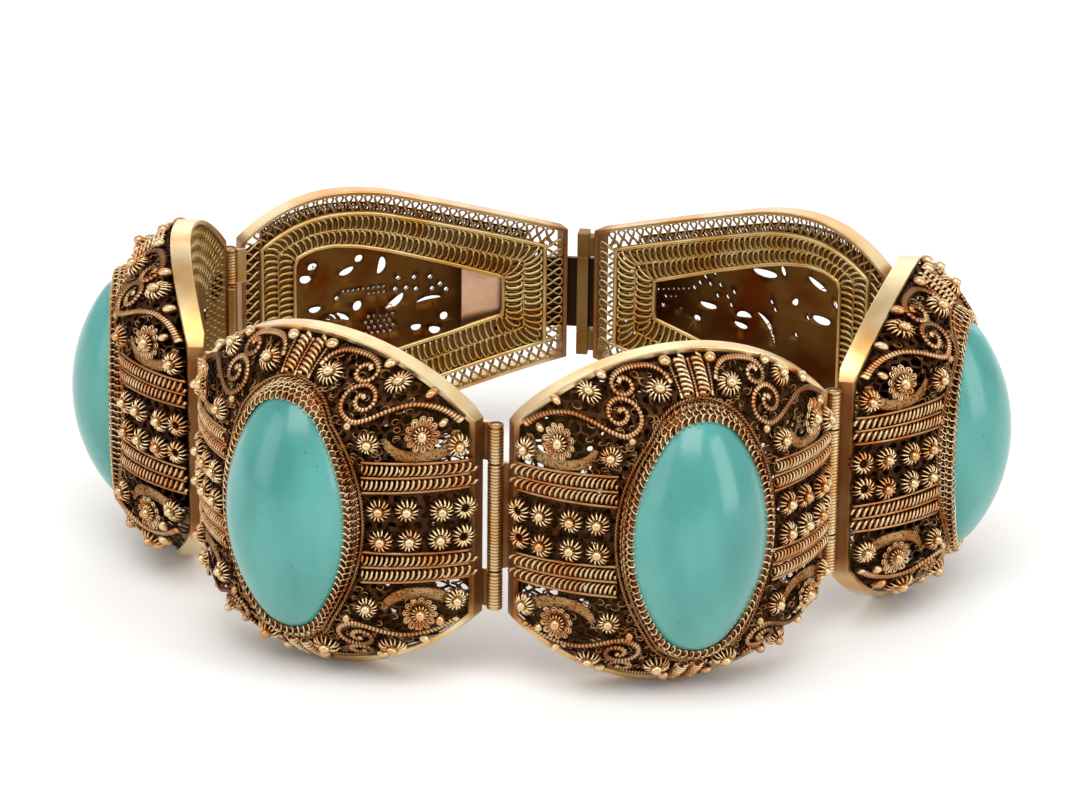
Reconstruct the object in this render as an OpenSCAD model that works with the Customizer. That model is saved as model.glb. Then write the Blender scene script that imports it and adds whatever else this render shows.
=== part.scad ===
// Hinged filigree bracelet of four oval-stone links and two plain back panels.
// Origin: on the table under the middle of the loop. The front hinge faces -Y and the wrist axis is Z.

/* [Loop] */
// Distance between the two hinge axes of a stone link
link_pitch = 30; // [28:0.5:33]
// Turn between the two front links at rest, in degrees
front_fold = 50; // [46:1:54]
// Turn between a front link and a far link at rest, in degrees
side_fold = 58; // [55:1:61]
// Turn between a far link and a back panel at rest, in degrees
rear_fold = 68; // [65:1:70]
// Fore and aft place of the front hinge axis
front_y = -28.2; // [-36:0.1:-20]

/* [Stone link] */
// Height of a link over its curved top and bottom
link_h = 29.8; // [27:0.2:32]
// Height of the straight hinge side of a link
side_h = 17.4; // [16:0.2:19]
// Gap from a hinge axis to the wall of the link beside it
wall_gap = 1.1; // [1:0.05:1.4]
// Thickness of the rim strip
rim_t = 0.7; // [0.5:0.05:1]
// How far the rim stands out of the hinge line
rim_out = 1.2; // [1:0.1:1.5]
// How far the rim reaches inside the hinge line
rim_in = 0.8; // [0.7:0.1:1]
// How far a link bows outward between its hinges
link_bow = 2.8; // [2:0.1:3.2]
// Thickness of the openwork face
face_t = 0.8; // [0.6:0.05:1]
// Thickness of the flat sheet that closes a link at the wrist
sheet_t = 0.5; // [0.4:0.05:0.7]

/* [Stone and collar] */
// Width of a stone where it leaves the collar
stone_w = 12; // [11:0.1:12.4]
// Height of a stone where it leaves the collar
stone_h = 20.5; // [19:0.1:21]
// How far the stone stands out of the collar
stone_rise = 4.2; // [3.4:0.1:4.6]
// Distance of the collar mouth from the hinge line
mouth_out = 9; // [8.8:0.1:9.4]
// Width of the rope ring round the foot of the collar
ring_w = 14.4; // [14.2:0.1:15]
// Height of the rope ring round the foot of the collar
ring_h = 24; // [23.6:0.1:24.6]

/* [Hinges] */
// Diameter of a hinge knuckle
knuckle_d = 1.4; // [1.3:0.05:1.6]
// Diameter of a hinge pin
pin_d = 0.7; // [0.6:0.05:0.8]
// Height of a whole column of knuckles
column_h = 16.6; // [15:0.2:17]
// Height of the long middle knuckle
middle_h = 9.5; // [8:0.1:10.5]

/* [Back panels and clasp] */
// Height of a back panel at its widest place
back_h = 23.8; // [22:0.2:25]
// Height of a back panel at the clasp
clasp_h = 12.9; // [12:0.1:14]
// How far a back panel bows outward
back_bow = 2.6; // [2:0.1:3]
// How far the top sheet of a back panel rises over its rim
back_rise = 3.2; // [2.6:0.1:3.6]
// Height of the clasp tongue
tongue_h = 6.9; // [6:0.1:7.5]
// Thickness of the clasp tongue
tongue_t = 0.5; // [0.4:0.05:0.6]
// Play round the tongue in the clasp box
tongue_play = 0.32; // [0.28:0.02:0.4]

/* [Hidden] */
$fn = 72;
gold = "goldenrod";
turquoise = "mediumturquoise";
// Clearance of a pin in its bore, of a part in its seat, and between two knuckles
fit = 0.05;
seat_gap = 0.04;
knuckle_gap = 0.12;

// Plan of the right half of the loop: headings and hinge places
head_front = front_fold / 2;
head_side = head_front + side_fold;
head_back = head_side + rear_fold;
function step_on(from, heading, len) = from + len * [cos(heading), sin(heading)];
p_front = [0, front_y];
p_side = step_on(p_front, head_front, link_pitch);
p_rear = step_on(p_side, head_side, link_pitch);
back_pitch = -p_rear[0] / cos(head_back);
p_clasp = step_on(p_rear, head_back, back_pitch);
mid_z = link_h / 2;

// Outline of a link: straight sides and two arcs
link_w = link_pitch - 2 * wall_gap;
arc_sag = (link_h - side_h) / 2;
arc_r = (link_w * link_w / 4 + arc_sag * arc_sag) / (2 * arc_sag);
arc_drop = arc_r - link_h / 2;
function bow_radius(chord, bow) = (chord * chord / 4 + bow * bow) / (2 * bow);
link_bow_r = bow_radius(link_pitch, link_bow);
back_bow_r = bow_radius(back_pitch, back_bow);

// Face of a link: a drum about an upright axis, rounded off by a ball
drum_back = 7.14;
drum_r = 16.4;
ball_r = 18.6;

// Reach of the cutting shapes in front of the hinge line, behind it, and right through
front_reach = 14;
rear_reach = 8;
deep = 40;

// Stone: a long oval turned about an upright axis, cut off flat at its seat
tip_share = 0.68;
stone_drop = (stone_w * stone_w / 4 - stone_rise * stone_rise) / (2 * stone_rise);
stone_r = stone_drop + stone_rise;
stone_axis = mouth_out - stone_drop;
stone_tip_r = tip_share * stone_r;
stone_half = stone_h / 2 + stone_tip_r - sqrt(stone_tip_r * stone_tip_r - stone_drop * stone_drop);
stone_waist = 0.2;
seat_depth = 0.8;
seat_t = 0.8;
seat_top = mouth_out - seat_depth;
seat_low = seat_top - seat_t;

module upright_prism(front, rear) {
  translate([0, rear, 0]) rotate([90, 0, 0]) linear_extrude(front + rear) children();
}

module bow_slab(bow_r, bow, low, high) {
  translate([0, bow_r - bow, 0])
    difference() {
      cylinder(r = bow_r + high, h = deep, center = true, $fn = 180);
      cylinder(r = bow_r + low, h = deep + 1, center = true, $fn = 180);
    }
}

module link_outline(inset) {
  intersection() {
    square([link_w - 2 * inset, deep], center = true);
    translate([0, -arc_drop]) circle(r = arc_r - inset);
    translate([0, arc_drop]) circle(r = arc_r - inset);
  }
}

// Oval of four arcs, a and b its half width and half height
module oval(a, b) {
  tip_r = tip_share * a;
  tip_y = b - tip_r;
  off = (tip_y * tip_y - pow(a - tip_r, 2)) / (2 * (a - tip_r));
  side_r = a + off;
  join_y = side_r * tip_y / (side_r - tip_r);
  intersection() {
    square([2 * a, 2 * join_y], center = true);
    translate([-off, 0]) circle(r = side_r, $fn = 120);
    translate([off, 0]) circle(r = side_r, $fn = 120);
  }
  for (s = [-1, 1]) translate([0, s * tip_y]) circle(r = tip_r);
}

module spindle(r, half_h) {
  translate([0, -stone_axis, 0])
    rotate_extrude()
      intersection() {
        oval(r, half_h);
        translate([0, -half_h]) square([r, 2 * half_h]);
      }
}

// Profile of the face about its upright axis, with the three wires of each braided band
band_low = 2.6;
band_high = 5.4;
wire_w = 0.4;
band_sink = 0.3;
band_rise = 0.2;
wire_rise = 0.45;
module face_profile(grow) {
  intersection() {
    circle(r = ball_r + grow, $fn = 144);
    translate([0, -deep / 2]) square([drum_r + grow, deep]);
  }
}

module band_profile() {
  band_mid = (band_low + band_high) / 2;
  band_h = band_high - band_low;
  for (s = [-1, 1]) {
    translate([drum_r - band_sink, s * band_mid - band_h / 2]) square([band_sink + band_rise, band_h]);
    for (z = [band_low, band_mid, band_high])
      translate([drum_r - band_sink, s * z - wire_w / 2]) square([band_sink + wire_rise, wire_w]);
  }
}

// Place of a point on the face, x along the link and z up, as its distance out of the hinge line
function face_out(x, z) = sqrt(pow(min(drum_r, sqrt(ball_r * ball_r - z * z)), 2) - x * x) - drum_back;

// Rosettes in one quarter of the face: x, z, wheel radius, bead radius
rosettes = [
  [8.2, 1.3, 1, 0.5],
  [10.2, 1.3, 1, 0.5],
  [12.2, 1.3, 1, 0.5],
  [7.6, 7.1, 1.1, 0.5],
  [10.7, 7.9, 1.4, 0.55],
  [8.2, 12.1, 1.1, 0.5],
  [2.9, 12.7, 1, 0.5]
];
// Single beads in one quarter: x, z, radius
beads = [
  [7, 13.2, 0.5],
  [10.4, 11.1, 0.5],
  [1.9, 14.1, 0.45],
  [12, 9, 0.5]
];
// Curls of ribbed wire in one quarter: x, z, radius of the curl
curls = [
  [5.9, 10.8, 0.95],
  [5.8, 12.9, 0.65]
];
curl_wire = 0.32;
curl_lift = 0.12;
wheel_rise = 0.4;
wheel_bead_lift = 0.55;
bead_lift = 0.2;
// Long arc of the scroll: place, radius, rise of its crown over that place, half its sweep
long_x = 10.1;
long_z = 9;
long_r = 5.9;
long_rise = 1.2;
long_sweep = 38;
long_lift = 0.05;
// Gaps cut through one quarter of the face: x, z, radius
face_gaps = [
  [12.9, 7.6, 0.4],
  [9.3, 8.6, 0.35],
  [5.9, 12.4, 0.4],
  [12.6, 6.2, 0.3]
];

// Height at which the drum gives way to the ball
drum_top = 8.7;

module on_face(x, z) {
  out = face_out(x, z);
  turn_up = asin(z > drum_top ? z / ball_r : 0);
  turn_side = asin(x / sqrt(x * x + pow(out + drum_back, 2)));
  translate([x, -out, z]) rotate([0, 0, turn_side]) rotate([90 - turn_up, 0, 0]) children();
}

module four_ways() {
  for (sx = [0, 1]) for (sz = [0, 1])
    mirror([sx, 0, 0]) mirror([0, 0, sz]) children();
}

module wire_arc(r, sweep) {
  rotate_extrude(angle = sweep, $fn = 72) translate([r, 0]) circle(r = curl_wire, $fn = 24);
}

module knuckle_hole(h) {
  cylinder(d = pin_d + 2 * fit, h = h, center = true, $fn = 48);
}

// One knuckle with its leaf, on the axis, the leaf reaching in -X to the wall
leaf_out = 0.15;
leaf_t = 0.85;
module knuckle(h) {
  cylinder(d = knuckle_d, h = h, center = true, $fn = 48);
  translate([-wall_gap - rim_t / 2, -leaf_out, -h / 2]) cube([wall_gap + rim_t / 2, leaf_t, h]);
}

outer_h = (column_h - middle_h) / 2 - knuckle_gap;
outer_z = column_h / 2 - outer_h / 2;

module knuckle_pair() {
  for (s = [-1, 1]) translate([0, 0, s * outer_z]) knuckle(outer_h);
}

module stone_body(grow) {
  intersection() {
    spindle(stone_r + grow, stone_half + grow);
    upright_prism(deep / 2, -seat_top)
      oval(stone_w / 2 + stone_waist + grow, stone_h / 2 + stone_waist + grow);
  }
}

// Flat sheet: how far it stands in from the rear edge of the rim
sheet_in = 0.15;
// Braided bars over and under the collar: step, width, length, rise over the face
bar_step = 1.1;
bar_w = 0.5;
bar_h = 3.4;
bar_rise = 0.35;
// Collar: how far it stands off the stone at the sides and at the ends
collar_t = 0.4;
collar_end_t = 0.7;
// Rope ring: how far out it reaches, depth of its foot, its width, how much of it laps the face
rope_out = 7.7;
rope_low = 6;
rope_w = 0.8;
rope_lap = 0.7;

module link_metal() {
  // Rim strip
  intersection() {
    difference() {
      upright_prism(front_reach, rear_reach) link_outline(0);
      upright_prism(front_reach + 1, rear_reach + 1) link_outline(rim_t);
    }
    bow_slab(link_bow_r, link_bow, -rim_in, rim_out);
  }
  // Flat sheet toward the wrist
  intersection() {
    upright_prism(front_reach, rear_reach) link_outline(rim_t / 2);
    bow_slab(link_bow_r, link_bow, sheet_in - rim_in, sheet_in - rim_in + sheet_t);
  }
  // Domed face with its bands
  difference() {
    intersection() {
      upright_prism(front_reach, 0) link_outline(rim_t / 2);
      translate([0, drum_back, 0])
        rotate_extrude($fn = 180)
          difference() {
            union() {
              face_profile(0);
              band_profile();
            }
            face_profile(-face_t);
          }
    }
    upright_prism(front_reach + 1, 1) oval(ring_w / 2 - rope_lap, ring_h / 2 - rope_lap);
  }
  // Braided bars over and under the collar
  intersection() {
    translate([0, drum_back, 0]) difference() {
      sphere(r = ball_r + bar_rise, $fn = 144);
      sphere(r = ball_r - face_t, $fn = 144);
    }
    upright_prism(front_reach, 0) union() {
      for (s = [-1, 1]) for (x = [-bar_step, 0, bar_step])
        translate([x, s * (ring_h / 2 + 1)]) square([bar_w, bar_h], center = true);
    }
  }
  // Collar with its floor
  intersection() {
    upright_prism(mouth_out, -seat_low) square([link_w, link_h], center = true);
    spindle(stone_r + collar_t, stone_half + collar_end_t);
  }
  // Rope ring
  difference() {
    upright_prism(rope_out, -rope_low) oval(ring_w / 2, ring_h / 2);
    upright_prism(rope_out + 1, 1 - rope_low) oval(ring_w / 2 - rope_w, ring_h / 2 - rope_w);
  }
  // Rosettes and beads
  four_ways() {
    for (r = rosettes) on_face(r[0], r[1]) {
      translate([0, 0, -face_t / 2]) cylinder(r = r[2], h = face_t / 2 + wheel_rise, $fn = 32);
      translate([0, 0, wheel_bead_lift]) sphere(r = r[3], $fn = 32);
    }
    for (b = beads) on_face(b[0], b[1]) translate([0, 0, bead_lift]) sphere(r = b[2], $fn = 32);
    for (c = curls) on_face(c[0], c[1]) translate([0, 0, curl_lift]) wire_arc(c[2], 360);
    on_face(long_x, long_z) translate([0, long_rise - long_r, long_lift])
      rotate([0, 0, 90 - long_sweep]) wire_arc(long_r, 2 * long_sweep);
  }
  // Hinge knuckles: a pair on the right, a long one on the left
  translate([link_pitch / 2, 0, 0]) knuckle_pair();
  translate([-link_pitch / 2, 0, 0]) mirror([1, 0, 0]) knuckle(middle_h);
}

module stone_link() {
  color(gold)
    difference() {
      link_metal();
      stone_body(seat_gap);
      four_ways() for (g = face_gaps) translate([g[0], 0, g[1]]) rotate([90, 0, 0])
        cylinder(r = g[2], h = front_reach, $fn = 24);
      for (s = [-1, 1]) translate([s * link_pitch / 2, 0, 0]) knuckle_hole(column_h + 1);
    }
}

module stone() {
  color(turquoise)
    difference() {
      stone_body(0);
      upright_prism(seat_top + seat_gap, -seat_top + 1) square([deep, deep], center = true);
    }
}

module hinge_pin() {
  color(gold) cylinder(d = pin_d, h = column_h - knuckle_gap, center = true, $fn = 48);
}

// Outline of a back panel, in u from the clasp and z: a slope, a crown arc and a shoulder arc
clasp_gap = 1.5;
crown_u = 24.5;
slope = 15.5;
crown_r = (clasp_h / 2 + (crown_u - clasp_gap) * tan(slope) - back_h / 2)
  / (sin(slope) * tan(slope) - 1 + cos(slope));
slope_u = crown_u - crown_r * sin(slope);
hinge_u = back_pitch - wall_gap;
shoulder_drop = (back_h - side_h) / 2;
shoulder_r = (pow(hinge_u - crown_u, 2) + pow(shoulder_drop, 2)) / (2 * shoulder_drop);
function arc_z(r, u) = back_h / 2 - r + sqrt(r * r - pow(u - crown_u, 2));
function back_z(u) = u < slope_u ? clasp_h / 2 + (u - clasp_gap) * tan(slope)
  : arc_z(u < crown_u ? crown_r : shoulder_r, u);
function bow_at(u, chord, bow) = bow * (1 - pow(2 * u / chord - 1, 2));

// Points of the upper edge, inset from the outline: end, slope, crown arc, shoulder arc
arc_steps = 8;
function on_arc(r, inset, a) = [crown_u + (r - inset) * sin(a), back_h / 2 - r + (r - inset) * cos(a)];
function upper_edge(inset) =
  let (
    low_u = clasp_gap + inset,
    high_u = hinge_u - inset,
    turn = asin((high_u - crown_u) / (shoulder_r - inset))
  )
  concat(
    [[low_u, back_z(low_u) - inset / cos(slope)]],
    [for (i = [-arc_steps:0]) on_arc(crown_r, inset, slope * i / arc_steps)],
    [for (i = [1:arc_steps]) on_arc(shoulder_r, inset, turn * i / arc_steps)]
  );
module back_outline(inset) {
  top = upper_edge(inset);
  polygon(concat(top, [for (i = [len(top) - 1:-1:0]) [top[i][0], -top[i][1]]]));
}

// Window in the inner frame sheet: u and half height
window = [[7.6, 2], [13, 4.1], [19, 6.1], [22, 6.6], [25, 6.6], [28.6, 6]];
module window_shape() {
  polygon(concat(window, [for (i = [len(window) - 1:-1:0]) [window[i][0], -window[i][1]]]));
}

// Holes along the rim of a back panel: u, and z measured in from the outline
edge_us = [4.6, 7.4, 10.2, 13, 15.8, 18.6, 21.4, 24.2, 27];
edge_in = 1.5;
edge_r = 0.6;
// Holes in the top sheet of a back panel: u, z, radius
top_holes = [
  [27, 4.2, 0.6],
  [23.6, 0.4, 0.55],
  [20.4, 4.4, 0.6],
  [19.6, -2.6, 0.6],
  [15.4, 1.6, 0.55],
  [26.6, -4.6, 0.6],
  [13.2, -2, 0.5],
  [30.6, 0.6, 0.55]
];

// Domed top sheet, lofted through cross sections along u
loft_n = 22;
loft_m = 12;
sheet_drop = 0.5;
fade_len = 4;
fade_power = 2.4;
crown_power = 2.6;
function end_fade(u) = 1 - pow(1 - min(1, min(u - clasp_gap, hinge_u - u) / fade_len), fade_power);
function top_out(u, t) = bow_at(u, back_pitch, back_bow) + rim_out - sheet_drop
  + back_rise * end_fade(u) * (1 - pow(abs(t), crown_power));
function loft_point(i, j, sink) =
  let (
    u = clasp_gap + rim_t / 2 + (hinge_u - clasp_gap - rim_t) * i / loft_n,
    t = 1 - 2 * j / loft_m
  )
  [back_pitch / 2 - u, sink - top_out(u, t), t * (back_z(u) - rim_t / 2)];
module top_sheet() {
  row = loft_m + 1;
  all = (loft_n + 1) * row;
  points = [for (sink = [0, face_t]) for (i = [0:loft_n]) for (j = [0:loft_m]) loft_point(i, j, sink)];
  outer = [for (i = [0:loft_n - 1]) for (j = [0:loft_m - 1])
    [i * row + j, i * row + j + 1, (i + 1) * row + j + 1, (i + 1) * row + j]];
  inner = [for (f = outer) [f[3] + all, f[2] + all, f[1] + all, f[0] + all]];
  ends = [for (j = [0:loft_m - 1]) each [
    [j + 1, j, j + all, j + 1 + all],
    [loft_n * row + j, loft_n * row + j + 1, loft_n * row + j + 1 + all, loft_n * row + j + all]]];
  sides = [for (i = [0:loft_n - 1]) each [
    [i * row, (i + 1) * row, (i + 1) * row + all, i * row + all],
    [(i + 1) * row + loft_m, i * row + loft_m, i * row + loft_m + all, (i + 1) * row + loft_m + all]]];
  polyhedron(points = points, faces = concat(outer, inner, ends, sides), convexity = 6);
}

module from_clasp() {
  translate([back_pitch / 2, 0]) mirror([1, 0]) children();
}

module back_metal() {
  intersection() {
    upright_prism(front_reach, rear_reach) difference() {
      from_clasp() back_outline(0);
      from_clasp() back_outline(rim_t);
    }
    bow_slab(back_bow_r, back_bow, -rim_in, rim_out);
  }
  intersection() {
    upright_prism(front_reach, rear_reach) difference() {
      from_clasp() back_outline(rim_t / 2);
      from_clasp() window_shape();
    }
    bow_slab(back_bow_r, back_bow, sheet_in - rim_in, sheet_in - rim_in + sheet_t);
  }
  difference() {
    top_sheet();
    for (h = top_holes) translate([back_pitch / 2 - h[0], 0, h[1]]) rotate([90, 0, 0])
      cylinder(r = h[2], h = front_reach, $fn = 24);
  }
}

module edge_holes() {
  for (u = edge_us) for (s = [-1, 1])
    translate([back_pitch / 2 - u, rear_reach, s * (back_z(u) - edge_in)]) rotate([90, 0, 0])
      cylinder(r = edge_r, h = front_reach + rear_reach, $fn = 24);
}

module place_back() {
  mid = step_on(p_rear, head_back, back_pitch / 2);
  translate([mid[0], mid[1], mid_z]) rotate([0, 0, head_back]) children();
}

// Clasp, in a frame at the clasp with X out of the middle plane into the right panel
blade_y = -0.15;
blade_end = 1.75;
blade_reach = 1.9;
tail_len = 9.8;
tail_turn = 14;
box_low = -0.35;
box_w = 1.1;
box_d = 1.74;
box_lap = 0.4;
// Cheeks that join the box to the end of the right panel: x and y of the corners
cheek = [[0.6, -0.85], [1.6, -0.85], [2.35, 0.55], [0.6, 0.55]];
module clasp_frame() { translate([p_clasp[0], p_clasp[1], mid_z]) children(); }

module clasp_box() {
  translate([box_low, blade_y - box_d / 2, -clasp_h / 2]) cube([box_w, box_d, clasp_h]);
  translate([0, 0, box_lap - clasp_h / 2]) linear_extrude(clasp_h - 2 * box_lap) polygon(cheek);
}

// A strip of the tongue: straight to the bend, then its tail turned inward along the panel
function bent(side, len) =
  let (c = cos(tail_turn), s = sin(tail_turn), k = side * tan(tail_turn / 2))
  [
    [blade_end + k, blade_y + side],
    [blade_end + len * c + side * s, blade_y - len * s + side * c]
  ];
module tongue_strip(low, len, play) {
  half = tongue_t / 2 + play;
  up = bent(half, len);
  down = bent(-half, len);
  translate([0, 0, -tongue_h / 2 - play])
    linear_extrude(tongue_h + 2 * play)
      polygon([[low, blade_y - half], down[0], down[1], up[1], up[0], [low, blade_y + half]]);
}

slot_low = -0.6;
slot_high = 2.2;
slot_len = 1.6;
module box_slot() {
  translate([slot_low, blade_y - tongue_t / 2 - tongue_play, -tongue_h / 2 - tongue_play])
    cube([slot_high - slot_low, tongue_t + 2 * tongue_play, tongue_h + 2 * tongue_play]);
}

module back_panel_right() {
  color(gold)
    difference() {
      union() {
        place_back() {
          back_metal();
          translate([-back_pitch / 2, 0, 0]) mirror([1, 0, 0]) knuckle(middle_h);
        }
        clasp_frame() clasp_box();
      }
      place_back() {
        edge_holes();
        translate([-back_pitch / 2, 0, 0]) knuckle_hole(column_h + 1);
      }
      clasp_frame() box_slot();
    }
}

module back_panel_left() {
  color(gold)
    mirror([1, 0, 0])
      difference() {
        place_back() {
          back_metal();
          translate([-back_pitch / 2, 0, 0]) mirror([1, 0, 0]) knuckle_pair();
        }
        place_back() {
          edge_holes();
          translate([-back_pitch / 2, 0, 0]) knuckle_hole(column_h + 1);
        }
        clasp_frame() tongue_strip(slot_low, slot_len, seat_gap);
      }
}

module clasp_tongue() {
  color(gold) mirror([1, 0, 0]) clasp_frame() tongue_strip(-blade_reach, tail_len, 0);
}

module place_link(from, heading) {
  mid = step_on(from, heading, link_pitch / 2);
  translate([mid[0], mid[1], mid_z]) rotate([0, 0, heading]) children();
}

module front_right() { place_link(p_front, head_front) children(); }
module far_right() { place_link(p_side, head_side) children(); }
module front_left() { place_link([-p_side[0], p_side[1]], -head_front) children(); }
module far_left() { place_link([-p_rear[0], p_rear[1]], -head_side) children(); }
module at_hinge(p, side) { translate([side * p[0], p[1], mid_z]) children(); }

front_right() stone_link();  // link_front_right
front_left() stone_link();  // link_front_left
far_right() stone_link();  // link_far_right
far_left() stone_link();  // link_far_left
front_right() stone();  // stone_front_right
front_left() stone();  // stone_front_left
far_right() stone();  // stone_far_right
far_left() stone();  // stone_far_left
back_panel_right();
back_panel_left();
clasp_tongue();
at_hinge(p_front, 1) hinge_pin();  // hinge_pin_front
at_hinge(p_side, -1) hinge_pin();  // hinge_pin_left
at_hinge(p_side, 1) hinge_pin();  // hinge_pin_right
at_hinge(p_rear, -1) hinge_pin();  // hinge_pin_rear_left
at_hinge(p_rear, 1) hinge_pin();  // hinge_pin_rear_right
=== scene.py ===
"""Looks of the filigree bracelet: wirework of the stone links and back panels, stones, light and camera.

Shapes are worked out in millimetres and scaled to metres at the end. The face of a link is laid out flat,
with x along the link, z up and a third number outward, and is then bent over the dome.
"""

import math
import random

import bmesh
import bpy
from mathutils import Matrix, Vector


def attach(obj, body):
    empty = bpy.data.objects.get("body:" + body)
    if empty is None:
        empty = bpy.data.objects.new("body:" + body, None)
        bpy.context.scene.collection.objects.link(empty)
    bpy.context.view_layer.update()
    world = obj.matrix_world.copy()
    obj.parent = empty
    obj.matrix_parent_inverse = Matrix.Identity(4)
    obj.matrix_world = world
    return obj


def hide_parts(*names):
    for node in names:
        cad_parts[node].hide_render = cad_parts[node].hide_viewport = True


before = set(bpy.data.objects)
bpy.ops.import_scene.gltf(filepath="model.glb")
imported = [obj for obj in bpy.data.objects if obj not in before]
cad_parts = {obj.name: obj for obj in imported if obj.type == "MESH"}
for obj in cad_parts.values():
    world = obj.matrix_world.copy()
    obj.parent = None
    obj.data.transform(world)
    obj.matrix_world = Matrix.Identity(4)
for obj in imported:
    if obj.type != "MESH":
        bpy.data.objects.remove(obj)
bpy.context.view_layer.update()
MM = 0.001
TURN = 2 * math.pi
CORNERS = [(sx, sz) for sx in (-1, 1) for sz in (-1, 1)]
chance = random.Random(11)

# Plan of the loop, as the solids have it
LINK_PITCH = 30.0
FRONT_Y = -28.2
FOLDS = (25.0, 83.0, 151.0)
MID_Z = 14.9
WALL_GAP = 1.1

# Stone link
LINK_HALF_W = 13.9
LINK_HALF_H = 14.9
ARC_R = 18.68
LINK_BOW = 2.8
DRUM_BACK = 7.14
DRUM_R = 16.4
BALL_R = 18.6
DRUM_TOP = 8.7
EDGE_SINK = 0.45
SINK_REACH = 2.5
ROPE_A, ROPE_B = 6.75, 11.65
MOUTH_A, MOUTH_B, MOUTH_OUT = 6.3, 10.75, 9.0
FOOT_A, FOOT_B, FOOT_OUT = 6.55, 11.35, 7.5

# Rim strips: depth outward and inward, and thickness; a link's strip is narrower past its ends
RIM_T = 0.7
RIM_OUT = 1.2
RIM_IN = 0.6
LINK_STRIP_T = 0.5
BACK_STRIP_T = 0.4
LINK_STRIP_ENDS = LINK_HALF_W - 0.55
INNER_CUT = 0.35
OUTER_CUT = 0.05

# Stone: an oval turned about an upright axis and cut off flat
STONE_HALF_W, STONE_HALF_H, STONE_RISE = 6.0, 10.25, 4.2
STONE_DROP = (STONE_HALF_W ** 2 - STONE_RISE ** 2) / (2 * STONE_RISE)
STONE_R = STONE_DROP + STONE_RISE
STONE_AXIS = MOUTH_OUT - STONE_DROP
TIP_SHARE = 0.68
STONE_LONG = STONE_HALF_H + TIP_SHARE * STONE_R - math.sqrt((TIP_SHARE * STONE_R) ** 2 - STONE_DROP ** 2)
SEAT_TOP = 8.25

# Hinges: tubes, and the leaves that hold them to the rim
KNUCKLE_R = 0.7
BORE_R = 0.4
COLUMN_H = 16.6
MIDDLE_H = 9.5
OUTER_H = 3.43
OUTER_Z = (COLUMN_H - OUTER_H) / 2
RIB_PITCH = 0.28
LEAF_BACK, LEAF_FRONT = -0.12, 0.55

# Back panel, with u from the clasp
BACK_BOW = 2.6
BACK_RISE = 3.2
CLASP_GAP = 1.5
CROWN_U = 24.5
BACK_HALF_H = 11.9
CLASP_HALF_H = 6.45
SLOPE = math.radians(15.5)
SIDE_HALF_H = 8.7

# Radii of the drawn wires
FRAME_WIRE = 0.24
SCROLL_WIRE = 0.24
SHEET_WIRE = 0.2
STAY_WIRE = 0.14
EDGE_WIRE = 0.13
BRAID_WIRE = 0.1
ROPE_WIRE = 0.09
WHEEL_WIRE = 0.068
EYE_WIRE = 0.065
WEAVE_WIRE = 0.062
PETAL_WIRE = 0.058
CURL_WIRE = 0.055


def step_on(point, heading, length):
    """The place that lies a length from a point along a heading."""
    return Vector((point[0] + length * math.cos(heading), point[1] + length * math.sin(heading)))


HEAD_FRONT, HEAD_SIDE, HEAD_BACK = (math.radians(a) for a in FOLDS)
P_FRONT = Vector((0.0, FRONT_Y))
P_SIDE = step_on(P_FRONT, HEAD_FRONT, LINK_PITCH)
P_REAR = step_on(P_SIDE, HEAD_SIDE, LINK_PITCH)
BACK_PITCH = -P_REAR.x / math.cos(HEAD_BACK)
P_CLASP = step_on(P_REAR, HEAD_BACK, BACK_PITCH)


def placed(start, heading, length):
    """Matrix from a panel's own frame to the bracelet, in metres."""
    middle = step_on(start, heading, length / 2)
    turn = Matrix.Rotation(heading, 4, "Z")
    return Matrix.Scale(MM, 4) @ Matrix.Translation((middle.x, middle.y, MID_Z)) @ turn


def stray(most):
    """A chance shift of up to most either way."""
    return chance.uniform(-most, most)


def any_angle():
    return chance.uniform(0, 6.28)


def clamped(share):
    return min(max(share, 0.0), 1.0)


def round_angles(count, start=0.0):
    """Even angles round a full turn."""
    return [start + TURN * i / count for i in range(count)]


# Materials
def linear(hex_code):
    """sRGB hex colour as linear RGBA."""
    parts = [int(hex_code[i:i + 2], 16) / 255 for i in (1, 3, 5)]
    return [p / 12.92 if p <= 0.04045 else ((p + 0.055) / 1.055) ** 2.4 for p in parts] + [1.0]


def new_material(name):
    made = bpy.data.materials.new(name)
    made.use_nodes = True
    return made, made.node_tree, made.node_tree.nodes["Principled BSDF"]


def add_node(tree, kind, settings=None, **links):
    """Adds a node; settings are properties or socket values, links are sockets it reads, i0 the first."""
    made = tree.nodes.new(kind)
    for key, value in (settings or {}).items():
        if hasattr(made, key):
            setattr(made, key, value)
        else:
            made.inputs[key].default_value = value
    for key, source in links.items():
        socket = made.inputs[int(key[1:])] if key[0] == "i" and key[1:].isdigit() else made.inputs[key]
        tree.links.new(source, socket)
    return made


def ramp(tree, source, stops):
    """Colour ramp with (place, hex colour) stops."""
    made = add_node(tree, "ShaderNodeValToRGB", i0=source)
    band = made.color_ramp
    while len(band.elements) < len(stops):
        band.elements.new(0.5)
    for element, (place, colour) in zip(band.elements, stops):
        element.position = place
        element.color = linear(colour)
    return made.outputs["Color"]


def blotches(tree, size_mm, detail=2.0):
    """Noise with patches of about size_mm on the piece's own coordinates."""
    coords = add_node(tree, "ShaderNodeTexCoord").outputs["Object"]
    settings = {"Scale": 1.0 / (size_mm * MM), "Detail": detail}
    return add_node(tree, "ShaderNodeTexNoise", settings, Vector=coords).outputs["Fac"]


def mix_colour(tree, amount, first, second, mode="MIX"):
    """Mixes two colours; each input is a number, a hex colour or a socket."""
    made = add_node(tree, "ShaderNodeMix", {"data_type": "RGBA", "blend_type": mode})
    for index, value in ((0, amount), (6, first), (7, second)):
        if isinstance(value, (int, float)):
            made.inputs[index].default_value = value
        elif isinstance(value, str):
            made.inputs[index].default_value = linear(value)
        else:
            tree.links.new(value, made.inputs[index])
    return made.outputs[2]


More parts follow.
